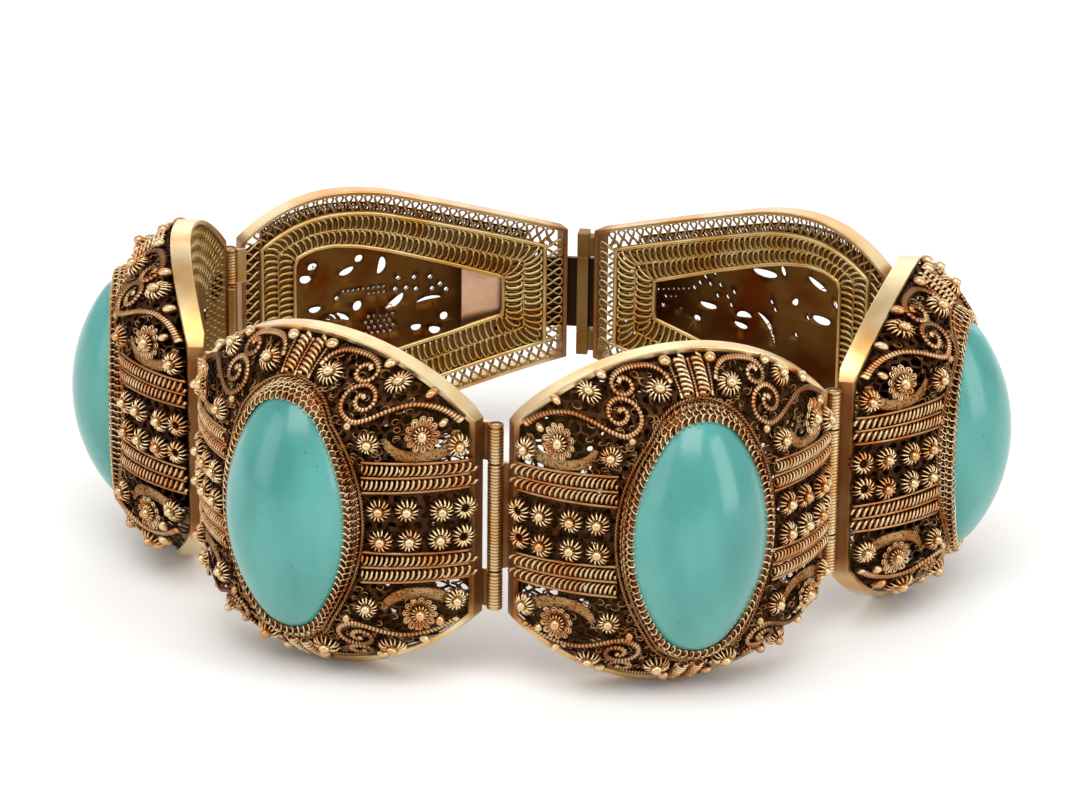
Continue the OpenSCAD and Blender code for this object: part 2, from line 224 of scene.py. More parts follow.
def bump(tree, shader, source, depth_mm):
    made = add_node(tree, "ShaderNodeBump", {"Strength": 1.0, "Distance": depth_mm * MM}, Height=source)
    tree.links.new(made.outputs["Normal"], shader.inputs["Normal"])


def shade(tree, shader, colour, settings):
    """Gives a shader its colour from a socket, and the values of its other inputs."""
    tree.links.new(colour, shader.inputs["Base Color"])
    for key, value in settings.items():
        shader.inputs[key].default_value = value


def gilt_with_wear_and_painted_light(name, stops, warm, rough, patch_mm=2.2, grain_mm=0.0):
    """Gilt metal: dark in the recesses from oxide and painted shade, painted light on the tops as a
    highlight, copper where the gilding is rubbed away.
    """
    made, tree, shader = new_material(name)
    relief = add_node(tree, "ShaderNodeAttribute", {"attribute_name": "relief"}).outputs["Fac"]
    tone = ramp(tree, relief, stops)
    patch = ramp(tree, blotches(tree, patch_mm), ((0.42, "#000000"), (0.66, "#FFFFFF")))
    colour = mix_colour(tree, patch, tone, mix_colour(tree, 1.0, tone, warm, "MULTIPLY"))
    duller = add_node(tree, "ShaderNodeMapRange", {"To Min": rough + 0.25, "To Max": rough}, Value=relief)
    tree.links.new(duller.outputs["Result"], shader.inputs["Roughness"])
    if grain_mm:
        grain = blotches(tree, grain_mm, 3.0)
        bump(tree, shader, grain, 0.12)
        pits = ramp(tree, grain, ((0.34, "#000000"), (0.5, "#FFFFFF")))
        colour = mix_colour(tree, pits, "#3A2412", colour)
    else:
        bump(tree, shader, blotches(tree, 0.12, 1.0), 0.012)
    shade(tree, shader, colour, {"Metallic": 1.0})
    return made


# Drawn gilt wire, soldered and oxidised: tops painted light as a highlight, hollows brown-black from oxide
# and painted shade
GILT_WIRE = gilt_with_wear_and_painted_light("gilt_wire", ((0.0, "#26170C"), (0.3, "#694428"), (0.6, "#B88A5C"), (0.9, "#F2D9AA")),
                      "#EABE9C", rough=0.28)
# Cast gilt granules: smooth and round, tan, painted lighter toward their tops as a highlight and darker low
# down as shade
GILT_GRANULE = gilt_with_wear_and_painted_light("gilt_granule", ((0.0, "#3E2614"), (0.4, "#9C754A"), (1.0, "#DEC296")),
                         "#E9C2A2", rough=0.26)
# Polished gilt strip: rims and hinges, pale gold with rubbed coppery patches; darker where its relief is low,
# which is painted shade at the rims' ends and in the hinges' grooves
GILT_STRIP = gilt_with_wear_and_painted_light("polished_gilt_strip", ((0.0, "#704A2A"), (0.5, "#A88050"), (1.0, "#E4CD9E")),
                       "#ECC79C", rough=0.29, patch_mm=5.0)
# Oxidised ground behind the wire: brown black, partly oxide and partly painted shade, with lighter rubbed
# spots, matt
DARK_GROUND = gilt_with_wear_and_painted_light("oxide_and_shade_ground", ((0.0, "#3A2413"), (0.24, "#8A6041"), (1.0, "#B08250")),
                        "#8E664C", rough=0.4, patch_mm=0.7)
# Unpolished gilt toward the wrist: olive gold, dull; painted darker where it lies low as shade and lighter
# where it stands out as a highlight
INNER_GILT = gilt_with_wear_and_painted_light("inner_gilt", ((0.0, "#34230F"), (0.45, "#8E7040"), (1.0, "#D6BA80")),
                       "#EED0A0", rough=0.34, patch_mm=4.0)
# Back of the domed sheet: red-brown gilt, glossy
SHEET_BACK_GILT = gilt_with_wear_and_painted_light("red_brown_sheet_back", ((0.0, "#7A5426"), (1.0, "#A87C44")), "#E2A070", rough=0.3,
                          patch_mm=4.5)
# Leaves of gilt strewn with fine filings: matt and rough to the touch
GRAINED_GILT = gilt_with_wear_and_painted_light("grained_gilt", ((0.0, "#7E5A34"), (0.5, "#C09A68")), "#EBC49A", rough=0.4,
                         grain_mm=0.18)
FINISHES = [GILT_WIRE, GILT_GRANULE, GILT_STRIP, DARK_GROUND, INNER_GILT, SHEET_BACK_GILT, GRAINED_GILT]
WIRE, GRANULE, STRIP, GROUND, INNER, SHEET_BACK, GRAINED = range(7)
# How much lower a groove's relief is taken, which paints it darker as shade
GROOVE_SHADE = 1.6


# Wire routes
class Path:
    """A line through points, with a side and an up direction, that is read by its length."""

    def __init__(self, points, closed=False, side=None, up=None):
        self.points = [Vector(p) for p in points]
        self.closed = closed
        if closed:
            self.points.append(self.points[0].copy())
        self.at_length = [0.0]
        for a, b in zip(self.points, self.points[1:]):
            self.at_length.append(self.at_length[-1] + (b - a).length)
        self.length = self.at_length[-1]
        self.side, self.up = side, up
        self.seek = 0

    def frame(self, s):
        """Place, along, side and up directions at length s."""
        s = s % self.length if self.closed else min(max(s, 0.0), self.length)
        i = self.seek if self.at_length[self.seek] <= s else 0
        while i < len(self.points) - 2 and self.at_length[i + 1] < s:
            i += 1
        self.seek = i
        gap = self.at_length[i + 1] - self.at_length[i] or 1e-9
        t = (s - self.at_length[i]) / gap
        place = self.points[i].lerp(self.points[i + 1], t)
        along = (self.points[i + 1] - self.points[i]).normalized()
        if self.side is None:
            up = Vector((0, 0, 1))
            side = up.cross(along).normalized()
        else:
            j = (i + 1) % len(self.side)
            side = self.side[i].lerp(self.side[j], t).normalized()
            up = self.up[i].lerp(self.up[j], t).normalized()
        return place, along, side, up

    def divided(self, count):
        """Places that divide the line evenly in count steps."""
        ends = count if self.closed else count + 1
        return [self.frame(self.length * i / count)[0] for i in range(ends)]


def level(line, lift):
    """A flat line of (x, z) at one height."""
    return [(x, z, lift) for x, z in line]


def smooth_line(points, step):
    """Rounds a line through points (Catmull-Rom) and divides it evenly."""
    knots = [Vector(p) for p in points]
    last = len(knots) - 1
    dense = []
    for i in range(last):
        a, b, c, d = (knots[min(max(i + k, 0), last)] for k in (-1, 0, 1, 2))
        for t in (k / 8 for k in range(8)):
            dense.append(0.5 * ((2 * b) + (c - a) * t + (2 * a - 5 * b + 4 * c - d) * t * t
                                + (3 * b - a - 3 * c + d) * t ** 3))
    path = Path(dense + [knots[-1]])
    return path.divided(max(2, round(path.length / step)))


def coil(path, half, lift, pitch, points_a_turn=8, lean=0.0, loop=0.0, phase=0.0, raise_by=0.0, uneven=0.0):
    """Route of a wire wound along a path, half wide to each side and lift high; its turns overlap by loop."""
    turns = max(1, round(path.length / pitch))
    count = turns * points_a_turn
    hand = [1 + stray(uneven) for _ in range(turns + 1)]
    route = []
    for i in range(count if path.closed else count + 1):
        a = TURN * i / points_a_turn + phase
        s = path.length * i / count
        place, along, side, up = path.frame(s)
        wide = (half(s / path.length) if callable(half) else half) * hand[i // points_a_turn]
        route.append(place + side * (wide * math.sin(a)) + up * (raise_by + lift * math.cos(a))
                     + along * (lean * math.sin(a) + loop * math.cos(a)))
    return route


def wire_mesh(routes, radius, sides=4, closed=False):
    """Round wire along each route; a route is a list of points, or a pair of points and girths."""
    curve = bpy.data.curves.new("wire", "CURVE")
    curve.dimensions = "3D"
    curve.bevel_depth = radius
    curve.bevel_resolution = (sides - 4) // 2
    curve.use_fill_caps = True
    for route in routes:
        points, girths = route if isinstance(route, tuple) else (route, None)
        spline = curve.splines.new("POLY")
        spline.points.add(len(points) - 1)
        spline.points.foreach_set("co", [v for p in points for v in (p[0], p[1], p[2], 1.0)])
        if girths:
            spline.points.foreach_set("radius", girths)
        spline.use_cyclic_u = closed
    holder = bpy.data.objects.new("wire", curve)
    mesh = bpy.data.meshes.new_from_object(holder)
    bpy.data.objects.remove(holder)
    bpy.data.curves.remove(curve)
    return mesh


# Mesh work shared by the pieces
def as_mesh(made, name):
    """Turns a bmesh into mesh data and frees it."""
    mesh = bpy.data.meshes.new(name)
    made.to_mesh(mesh)
    made.free()
    return mesh


def face_outward(made):
    bmesh.ops.recalc_face_normals(made, faces=made.faces[:])


def soften(made, edges, width):
    """Rounds edges with a small bevel."""
    bmesh.ops.bevel(made, geom=edges, offset=width, segments=2, affect="EDGES", profile=0.5, material=-1)


def extrude_up(made, faces, height):
    """Raises a flat region to a solid of the given height."""
    top = bmesh.ops.extrude_face_region(made, geom=faces)["geom"]
    bmesh.ops.translate(made, vec=(0, 0, height), verts=[g for g in top if isinstance(g, bmesh.types.BMVert)])
    face_outward(made)


def thicken(made, thick):
    """Turns a flat sheet face up and gives it its thickness."""
    if sum(f.normal.z for f in made.faces) < 0:
        bmesh.ops.reverse_faces(made, faces=made.faces[:])
    bmesh.ops.solidify(made, geom=made.faces[:], thickness=thick)
    face_outward(made)


def ring_edges(made, verts):
    return [made.edges.new((verts[i], verts[(i + 1) % len(verts)])) for i in range(len(verts))]


def beveled_box(low, high, bevel_width):
    made = bmesh.new()
    size = [b - a for a, b in zip(low, high)]
    middle = [(a + b) / 2 for a, b in zip(low, high)]
    bmesh.ops.create_cube(made, size=1.0, matrix=Matrix.Translation(middle) @ Matrix.Diagonal((*size, 1.0)))
    soften(made, made.edges[:], bevel_width)
    return made


class Bench:
    """Collects the wires, granules and sheets of one piece."""

    def __init__(self, fit=lambda x, z: (1.0, 1.0)):
        self.bm = bmesh.new()
        self.fit = fit

    def add(self, part, finish, smooth=True):
        """Adds a mesh or bmesh with a finish."""
        mesh = as_mesh(part, "part") if isinstance(part, bmesh.types.BMesh) else part
        before = len(self.bm.faces)
        self.bm.from_mesh(mesh)
        self.bm.faces.ensure_lookup_table()
        for face in self.bm.faces[before:]:
            face.material_index = finish
            face.smooth = smooth
        bpy.data.meshes.remove(mesh)

    def wires(self, routes, radius, sides=4, closed=False, finish=WIRE):
        """Adds wires; where a route has girths, its thin places are kept as grooves, which are painted darker
        as shade.
        """
        first = len(self.bm.verts)
        self.add(wire_mesh(routes, radius, sides, closed), finish)
        girths = [g for route in routes if isinstance(route, tuple) for g in route[1] for _ in range(sides)]
        if girths:
            groove = self.bm.verts.layers.float.get("groove") or self.bm.verts.layers.float.new("groove")
            self.bm.verts.ensure_lookup_table()
            for vert, girth in zip(self.bm.verts[first:], girths):
                vert[groove] = max(0.0, 1.0 - girth)

    def granule(self, place, radius):
        ball = bmesh.new()
        fit = Matrix.Diagonal((*self.fit(place[0], place[1]), 1.0, 1.0))
        placing = Matrix.Translation(place) @ fit
        bmesh.ops.create_icosphere(ball, subdivisions=2, radius=radius, matrix=placing)
        self.add(ball, GRANULE)

    def bend(self, shape, low, high):
        """Moves every vertex by shape(place) and keeps its height between low and high as relief, less the
        painted shade of its grooves; the finishes paint low relief dark as shade and high relief light as a
        highlight.
        """
        layer = self.bm.verts.layers.float.new("relief")
        groove = self.bm.verts.layers.float.get("groove")
        for vert in self.bm.verts:
            painted_groove_shade = GROOVE_SHADE * vert[groove] if groove else 0.0
            vert[layer] = clamped((vert.co.z - low) / (high - low) - painted_groove_shade)
            vert.co = shape(vert.co)

    def set_relief(self, measure, low=0.0, high=1.0):
        """Sets the relief of every vertex from measure(place)."""
        layer = self.bm.verts.layers.float.get("relief") or self.bm.verts.layers.float.new("relief")
        for vert in self.bm.verts:
            vert[layer] = clamped((measure(vert.co) - low) / (high - low))

    def take(self, other):
        """Moves everything from another bench to this one."""
        mesh = as_mesh(other.bm, "part")
        self.bm.from_mesh(mesh)
        bpy.data.meshes.remove(mesh)

    def finish(self, name):
        """Welds the piece and returns its mesh with all finishes."""
        bmesh.ops.remove_doubles(self.bm, verts=self.bm.verts[:], dist=1e-4)
        mesh = as_mesh(self.bm, name)
        for made in FINISHES:
            mesh.materials.append(made)
        return mesh


# Shapes of a stone link
def dome_fit(x, z):
    """How far a small shape shrinks in x and in z on the flat, to keep its size on the sloping dome."""
    depth = math.sqrt(max(min(DRUM_R ** 2, BALL_R ** 2 - z * z) - x * x, 9.0))
    return 1 / math.hypot(1, x / depth), 1 / math.hypot(1, z / depth if abs(z) > DRUM_TOP else 0)


def on_dome(flat):
    """Bends a flat place (x, z, outward) over the domed face, which sinks a little behind the rim."""
    x, z, lift = flat
    from_rim = ARC_R - math.hypot(x, abs(z) + ARC_R - LINK_HALF_H)
    lift -= EDGE_SINK * clamped(1 - from_rim / SINK_REACH)
    r = min(DRUM_R, math.sqrt(max(BALL_R ** 2 - z * z, 1.0)))
    depth = math.sqrt(max(r * r - x * x, 1.0))
    over = clamped((abs(z) - DRUM_TOP + 0.6) / 1.2)
    normal = Vector((x, -depth, z * over)).normalized()
    return Vector((x, DRUM_BACK - depth, z)) + normal * lift


def oval_half(a, b):
    """Right half of an oval of four arcs, from foot to tip; a and b are its half width and half height."""
    tip_r = TIP_SHARE * a
    tip_y = b - tip_r
    off = (tip_y ** 2 - (a - tip_r) ** 2) / (2 * (a - tip_r))
    side_r = a + off
    sweep = math.atan2(tip_y, off)
    side_turns = [sweep * i / 12 for i in range(12)]
    tip_turns = [sweep + (math.pi / 2 - sweep) * i / 8 for i in range(9)]
    quarter = [(side_r * math.cos(t) - off, side_r * math.sin(t)) for t in side_turns]
    quarter += [(tip_r * math.cos(t), tip_y + tip_r * math.sin(t)) for t in tip_turns]
    return [(x, -z) for x, z in reversed(quarter[1:])] + quarter


def oval_line(a, b, count):
    """Even places round an oval."""
    right = oval_half(a, b)
    left = [(-x, z) for x, z in reversed(right[1:-1])]
    return Path(level(right + left, 0), closed=True).divided(count)


def in_oval(x, z, a, b):
    return (abs(x) / a) ** 2.15 + (abs(z) / b) ** 2.15 < 1


def outline_line(inset):
    """Outline of a stone link, counter-clockwise from its lower right corner."""
    half_w = LINK_HALF_W - inset
    r = ARC_R - inset
    drop = ARC_R - LINK_HALF_H
    sweep = math.asin(half_w / r)
    arc = [(r * math.sin(t), r * math.cos(t) - drop) for t in (sweep * (1 - 2 * i / 24) for i in range(25))]
    top_z = arc[0][1]
    steps = max(2, round(2 * top_z / 1.2))
    right = [(half_w, -top_z + 2 * top_z * i / steps) for i in range(1, steps)]
    return [(x, -z) for x, z in reversed(arc)] + right + arc + [(-x, -z) for x, z in right]


def inside_outline(x, z, inset):
    return (abs(x) < LINK_HALF_W - inset
            and abs(z) + ARC_R - LINK_HALF_H < math.sqrt((ARC_R - inset) ** 2 - x * x))


def bow_out(x, pitch, bow):
    return bow * (1 - (2 * x / pitch) ** 2)


def link_bow(x):
    return bow_out(x, LINK_PITCH, LINK_BOW)


def on_link_sheet(flat):
    return Vector((flat[0], -(flat[2] + link_bow(flat[0])), flat[1]))


def strip_ring(outline, bow_of, thick, ends=math.inf):
    """A strip stood on edge round an outline and bowed outward, narrower past the ends."""
    made = bmesh.new()
    whole = made.faces.new([made.verts.new((x, z, -RIM_IN)) for x, z in outline])
    made.normal_update()
    bmesh.ops.inset_region(made, faces=[whole], thickness=thick, use_even_offset=True, use_boundary=True)
    bmesh.ops.delete(made, geom=[whole], context="FACES_ONLY")
    extrude_up(made, made.faces[:], RIM_OUT + RIM_IN)
    soften(made, [e for e in made.edges if len(e.link_faces) == 2 and e.calc_face_angle(0) > 0.9], 0.1)
    for vert in made.verts:
        x, z, d = vert.co
        cut = (INNER_CUT if d < 0.3 else -OUTER_CUT) if abs(x) > ends else 0.0
        vert.co = (x, -(d + cut + bow_of(x)), z)
    face_outward(made)
    for edge in made.edges:
        edge.smooth = edge.calc_face_angle(0) < 0.3
    return made


def ribbed_knuckle(height, middle_z):
    """A hinge tube wound with fine wire, open at its ends for the pin."""
    made = bmesh.new()
    low = middle_z - height / 2
    high = low + height
    edge, plain, top, hollow = (KNUCKLE_R - cut for cut in (0.08, 0.02, 0.01, 0.09))
    profile = [(BORE_R, low), (edge, low), (plain, low + 0.06), (plain, low + 0.22)]
    for i in range(round((height - 0.5) / RIB_PITCH)):
        z = low + 0.25 + i * RIB_PITCH
        profile += [(hollow, z), (top, z + 0.3 * RIB_PITCH), (top, z + 0.7 * RIB_PITCH)]
    profile += [(hollow, high - 0.25), (plain, high - 0.22), (plain, high - 0.06), (edge, high)]
    profile.append((BORE_R, high))
    verts = [made.verts.new((r, 0, z)) for r, z in profile]
    edges = ring_edges(made, verts)
    bmesh.ops.spin(made, geom=verts + edges, cent=(0, 0, 0), axis=(0, 0, 1), angle=TURN, steps=14,
                   use_merge=True)
    bmesh.ops.remove_doubles(made, verts=made.verts[:], dist=1e-4)
    face_outward(made)
    return made


def hinge_metal(rows, half):
    """Wound tubes with their leaves, half a pitch from a panel's middle; rows give height, z and side."""
    metal = Bench()
    for height, z, side in rows:
        tube = ribbed_knuckle(height, z)
        bmesh.ops.translate(tube, vec=(side * half, 0, 0), verts=tube.verts[:])
        metal.add(tube, STRIP)
        near, far = sorted((side * (half - WALL_GAP - RIM_T / 2), side * (half - KNUCKLE_R * 0.75)))
        metal.add(beveled_box((near, LEAF_BACK, z - height / 2 + 0.04),
                              (far, LEAF_FRONT, z + height / 2 - 0.04), 0.08), STRIP, smooth=False)
    # Grooves of the winding are painted dark as shade and the tops of its turns light as a highlight
    metal.set_relief(lambda p: math.hypot(abs(p.x) - half, p.y), KNUCKLE_R - 0.12, KNUCKLE_R)
    return metal


# Standing wire loop of a rosette: distance from its middle and height
WHEEL_LOOP = ((0.36, 0.2), (0.42, 0.62), (0.6, 0.8), (0.86, 0.68), (1.05, 0.38), (1.08, -0.02))
# Inner wheel of a looped rosette, the same way
INNER_LOOP = ((0.36, 0.2), (0.42, 0.54), (0.55, 0.66), (0.68, 0.54), (0.72, 0.3))
LOOPED_PETALS = 12
BEAD_R = 0.46


def rosette(bench, x, z, size, petals, beaded=True):
    """A wheel of standing wire loops round a granule, on the flat."""
    turn = any_angle()
    hub = Vector((x, z, 0))
    fit_x, fit_z = bench.fit(x, z)
    routes = []
    for k in range(petals):
        first = turn + (k + stray(0.1)) * TURN / petals
        tall = chance.uniform(0.86, 1.1)
        route = []
        for i, (r, w) in enumerate(WHEEL_LOOP):
            a = first + 0.45 * (i / 5 - 0.5) * TURN / petals
            away = Vector((fit_x * size * r * math.cos(a), fit_z * size * r * math.sin(a), w * tall))
            route.append(hub + away)
        routes.append(route)
    bench.wires(routes, WHEEL_WIRE)
    if beaded:
        bench.granule((x, z, 0.92), BEAD_R * min(size, 1.04))


def looped_rosette(bench, x, z):
    """The large rosette: flat looped petals in two rings round a granule."""
    turn = any_angle()
    hub = Vector((x, z, 0))
    fit = Matrix.Diagonal((*bench.fit(x, z), 1.0))
    for wide, long, lift in ((0.3, 0.42, 0.36), (0.15, 0.26, 0.44)):
        routes = []
        for a in round_angles(LOOPED_PETALS, turn):
            along = Vector((math.cos(a), math.sin(a), 0))
            side = Vector((-along.y, along.x, 0))
            route = []
            for t in round_angles(9):
                r = 1.02 + long * math.cos(t)
                aside = wide * math.sin(t) * (0.75 + 0.35 * math.cos(t))
                up = Vector((0, 0, lift + 0.14 * math.cos(t)))
                route.append(hub + fit @ (along * r + side * aside + up))
            routes.append(route)
        bench.wires(routes, PETAL_WIRE, closed=True)
    bench.wires([[hub + fit @ Vector((r * math.cos(a), r * math.sin(a), w)) for r, w in INNER_LOOP]
                 for a in round_angles(LOOPED_PETALS + 2, turn)], PETAL_WIRE)
    bench.granule((x, z, 0.74), BEAD_R)


def ribbed_wire(points, pitch=0.26, lift=0.32):
    """Points and girths of a scroll of wire wound with a finer one, plain at its first end."""
    line = smooth_line(level(points, lift), pitch / 3)
    girths = [1.0 if i < 6 else (1.0, 0.96, 0.62)[i % 3] for i in range(len(line))]
    return line, girths


# Ornament of a face's upper right corner: x and z from the middle, then a rosette's size or granule's radius
S_SCROLL = ((13.2, 9.0), (12.2, 9.75), (11.1, 10.25), (9.8, 10.4), (8.5, 10.0), (7.1, 9.3), (6.0, 9.1),
            (5.0, 9.7), (4.75, 10.6), (5.2, 11.4), (6.2, 11.7), (7.0, 11.2), (7.15, 10.4), (6.65, 9.95),
            (6.05, 10.1), (5.75, 10.6), (6.05, 11.0), (6.4, 10.75))
C_SCROLL = ((1.85, 12.7), (2.3, 13.5), (3.2, 13.95), (4.5, 13.9), (5.7, 13.55), (6.45, 12.85), (6.3, 12.15),
            (5.65, 11.95), (5.0, 12.35), (5.1, 12.95), (5.65, 13.1), (5.95, 12.75))
ROSETTES = ((8.25, 11.95, 1.06), (2.95, 12.25, 1.06), (7.25, 7.45, 0.9), (13.0, 7.0, 0.95))
LOOPED_ROSETTE = (10.9, 8.1)
PLAIN_GRANULES = ((7.1, 13.2, 0.56), (10.7, 11.1, 0.55), (1.9, 14.15, 0.55), (12.15, 9.0, 0.46),
                  (5.7, 8.75, 0.36))
FIELD_ROSETTES = ((8.1, 1.28), (10.05, 1.28), (12.0, 1.28), (13.35, 1.2))
LEAF = ((13.0, 8.2), (12.7, 7.0), (11.9, 6.35), (10.8, 6.15), (9.6, 6.35), (8.8, 7.0), (8.4, 7.8))
# Inner and outer edge of a pair of braided bands, beside the collar and at the rim, and how far it is raised
BAND_NEAR = (2.65, 5.35)
BAND_FAR = (2.85, 5.2)
BAND_RISE = 0.3
BAND_STEP = 0.353
# Net of open cells behind the ornament: cell radius, web between cells, depth and where it lies
NET_CELL = 0.52
NET_WEB = 0.19
NET_DEPTH = 0.14
NET_LOW = -0.2
# How far an ornament may stray from its place
SPREAD = 0.12


def band_height(x, share):
    """Height of a braided band at x, share 0 at its inner edge and 1 at its outer."""
    t = clamped((abs(x) - 6.8) / 6.8)
    low = BAND_NEAR[0] + (BAND_FAR[0] - BAND_NEAR[0]) * t
    high = BAND_NEAR[1] + (BAND_FAR[1] - BAND_NEAR[1]) * t
    return low + (high - low) * share


def band_line(sx, sz, share, lift):
    """Points of a band's wire, from the rope ring to the rim."""
    xs = [ROPE_A + BAND_STEP * i for i in range(21)]
    return level([(sx * x, sz * band_height(x, share) + BAND_RISE) for x in xs], lift)


def top_line(x, lean, low_z):
    """Points of a wire or braid over the middle of the collar, leaning outward."""
    return [(x + lean * i, low_z + 0.33 * i) for i in range(9)]


def braid(bench, line, half, pitch=0.36, girth=BRAID_WIRE):
    """One row of braid: a wire wound along a line in leaning turns, their backs sunk in the ground."""
    route = coil(Path(line), half, lift=0.24, pitch=pitch, lean=0.06, loop=0.12, raise_by=0.2, uneven=0.08)
    bench.wires([route], girth)


def filling(bench, keep, count, half_w, half_h):
    """Small curls of fine wire strewn over a ground."""
    routes = []
    while len(routes) < count:
        x, z = stray(half_w), stray(half_h)
        if keep(x, z):
            r = chance.uniform(0.2, 0.34)
            turn = any_angle()
            angles = [0.8 * i for i in range(7)]
            routes.append([(x + r * math.cos(turn + a), z + 0.8 * r * math.sin(turn + a),
                            0.1 + 0.12 * math.sin(a)) for a in angles])
    bench.wires(routes, CURL_WIRE, finish=GRANULE)


def in_corner(x, z):
    """Where the openwork of a link lets light through: beside the rim, above and below the bands."""
    return abs(x) > 8.4 and 5.4 < abs(z) < 9.8


def ground_here(x, z):
    """Where a face has its net: all but the collar's foot and the braided bands."""
    return (inside_outline(x, z, 0.4) and not in_oval(x, z, ROPE_A - 0.3, ROPE_B - 0.3)
            and not (abs(x) > 6.5 and band_height(x, 0.1) < abs(z - BAND_RISE) < band_height(x, 0.9)))


def curl_here(x, z):
    """Where a face has curls: few in the open corners, none beside the collar or in the middle field."""
    return (ground_here(x, z) and inside_outline(x, z, 0.9) and abs(z) > 5.5 and abs(x) > 1.6
            and (not in_corner(x, z) or chance.random() < 0.3))


def net_ground(bench):
    """Openwork ground: a net of soldered loops laid flat behind the ornament."""
    net = bmesh.new()
    row_step = 1.5 * NET_CELL
    col_step = math.sqrt(3) * NET_CELL
    rows = int(LINK_HALF_H / row_step) + 2
    cols = int(LINK_HALF_W / col_step) + 2
    for j in range(-rows, rows + 1):
        for i in range(-cols, cols + 1):
            x = (i + (0.5 if j % 2 else 0.0)) * col_step
            z = j * row_step
            if ground_here(x, z):
                bmesh.ops.create_circle(net, cap_ends=True, segments=6, radius=NET_CELL,
                                        matrix=Matrix.Translation((x, z, NET_LOW)))
    bmesh.ops.remove_doubles(net, verts=net.verts[:], dist=NET_CELL * 0.1)
    for vert in net.verts:
        vert.co.x += stray(0.13)
        vert.co.y += stray(0.13)
    cells = net.faces[:]
    wide_open = [cell for cell in cells if in_corner(*cell.calc_center_median().xy)]
    close = [cell for cell in cells if cell not in set(wide_open)]
    bmesh.ops.inset_individual(net, faces=wide_open, thickness=0.45 * NET_WEB, use_even_offset=True)
    bmesh.ops.inset_individual(net, faces=close, thickness=NET_WEB, use_even_offset=True)
    bmesh.ops.delete(net, geom=cells, context="FACES")
    face_outward(net)
    thicken(net, NET_DEPTH)
    bench.add(net, GROUND, smooth=False)


def leaf_strip(bench, points):
    """A flat grained strip bent round a large rosette, widest in its middle."""
    line = smooth_line(level(points, 0.0), 0.3)
    girths = [0.4 + 0.6 * math.sin(math.pi * i / (len(line) - 1)) for i in range(len(line))]
    strip = bmesh.new()
    strip.from_mesh(wire_mesh([(line, girths)], 0.56, 8))
    for vert in strip.verts:
        vert.co.z = 0.04 + vert.co.z * 0.18
    bench.add(strip, GRAINED)


def corner_ornament(bench, sx, sz):
    """One corner of a face: rosettes, granules, scrolls, leaf, a quarter of the field and a pair of bands."""
    drift = Vector((stray(SPREAD), stray(SPREAD)))

    def spot(x, z):
        """Place in this corner; the lower corners are laid closer."""
        return sx * x + drift.x, sz * (z if sz > 0 else z - 0.12 * max(z - 5.6, 0)) + drift.y

    for x, z, size in ROSETTES:
        rosette(bench, *spot(x, z), size, chance.choice((15, 16, 17)))
    looped_rosette(bench, *spot(*LOOPED_ROSETTE))
    for x, z, r in PLAIN_GRANULES:
        bench.granule((*spot(x, z), r - 0.12), r)
    scrolls = [ribbed_wire([spot(x, z) for x, z in line]) for line in (S_SCROLL, C_SCROLL)]
    bench.wires(scrolls, SCROLL_WIRE, sides=6)
    leaf_strip(bench, [spot(x, z) for x, z in LEAF])
    for x, z in FIELD_ROSETTES:
        place = sx * x + stray(SPREAD), sz * z + 0.15 + stray(SPREAD)
        rosette(bench, *place, 0.98, chance.choice((14, 15)), beaded=x < 13)
    for share in (0.26, 0.76):
        braid(bench, band_line(sx, sz, share, 0.05), 0.43)
    bench.wires([band_line(sx, sz, share, 0.22) for share in (0.0, 0.5, 1.0)], EDGE_WIRE, sides=6)
    plait = [(sx * x, sz * z) for x, z in top_line(0.68, lean=0.012, low_z=11.7)]
    braid(bench, level(plait, 0.14), half=0.46, pitch=0.35, girth=0.115)
    stay = [(sx * x, sz * z) for x, z in top_line(1.3, lean=0.05, low_z=11.6)]
    bench.wires([ribbed_wire(stay, pitch=0.2, lift=0.34)], STAY_WIRE, sides=6)


def face_wirework():
    """Everything on the domed face of a link, laid flat and then bent."""
    bench = Bench(dome_fit)
    net_ground(bench)
    filling(bench, curl_here, 350, LINK_HALF_W, LINK_HALF_H)
    for sx, sz in CORNERS:
        corner_ornament(bench, sx, sz)
    for sz in (-1, 1):
        stay = [(x, sz * z) for x, z in top_line(0, lean=0, low_z=11.6)]
        bench.wires([ribbed_wire(stay, pitch=0.2, lift=0.36)], STAY_WIRE, sides=6)
    ropes = []
    for a, b, lift in ((ROPE_A + 0.16, ROPE_B, 0.1), (ROPE_A - 0.26, ROPE_B - 0.42, 0.12)):
        path = Path(oval_line(a, b, 120), closed=True)
        ropes += [coil(path, half=0.085, lift=0.085, pitch=0.6, points_a_turn=6, phase=phase, raise_by=lift)
                  for phase in (0.0, math.pi)]
    bench.wires(ropes, ROPE_WIRE, closed=True)
    bench.bend(on_dome, low=-0.25, high=0.74)
    return bench


def collar_ring(a, b, out, count=120):
    return [Vector((p.x, -out, p.y)) for p in oval_line(a, b, count)]


def woven_row(start, end, share, half, loop, phase):
    """A row of linked loops on the band between two rings of the collar."""
    count = len(start)
    points = [a.lerp(b, share) for a, b in zip(start, end)]
    side = [(b - a).normalized() for a, b in zip(start, end)]
    ahead = [(points[(i + 1) % count] - points[i - 1]).normalized() for i in range(count)]
    up = [s.cross(t).normalized() for s, t in zip(side, ahead)]
    up = [u if u.dot(Vector((p.x, -9.0, p.z))) > 0 else -u for u, p in zip(up, points)]
    path = Path(points, closed=True, side=side, up=up)
    return coil(path, half, lift=0.12, pitch=0.6, loop=loop, phase=phase, raise_by=0.15, uneven=0.14)


def off_collar(place):
    """How far a place stands off the leaning band of the collar."""
    out = -place.y
    share = min((out - FOOT_OUT) / (MOUTH_OUT - FOOT_OUT), 1.0)
    a = FOOT_A + (MOUTH_A - FOOT_A) * share
    b = FOOT_B + (MOUTH_B - FOOT_B) * share
    angle = math.atan2(place.z / b, place.x / a)
    proud = math.hypot(place.x, place.z) - math.hypot(a * math.cos(angle), b * math.sin(angle))
    return max(proud, out - MOUTH_OUT - 0.02)


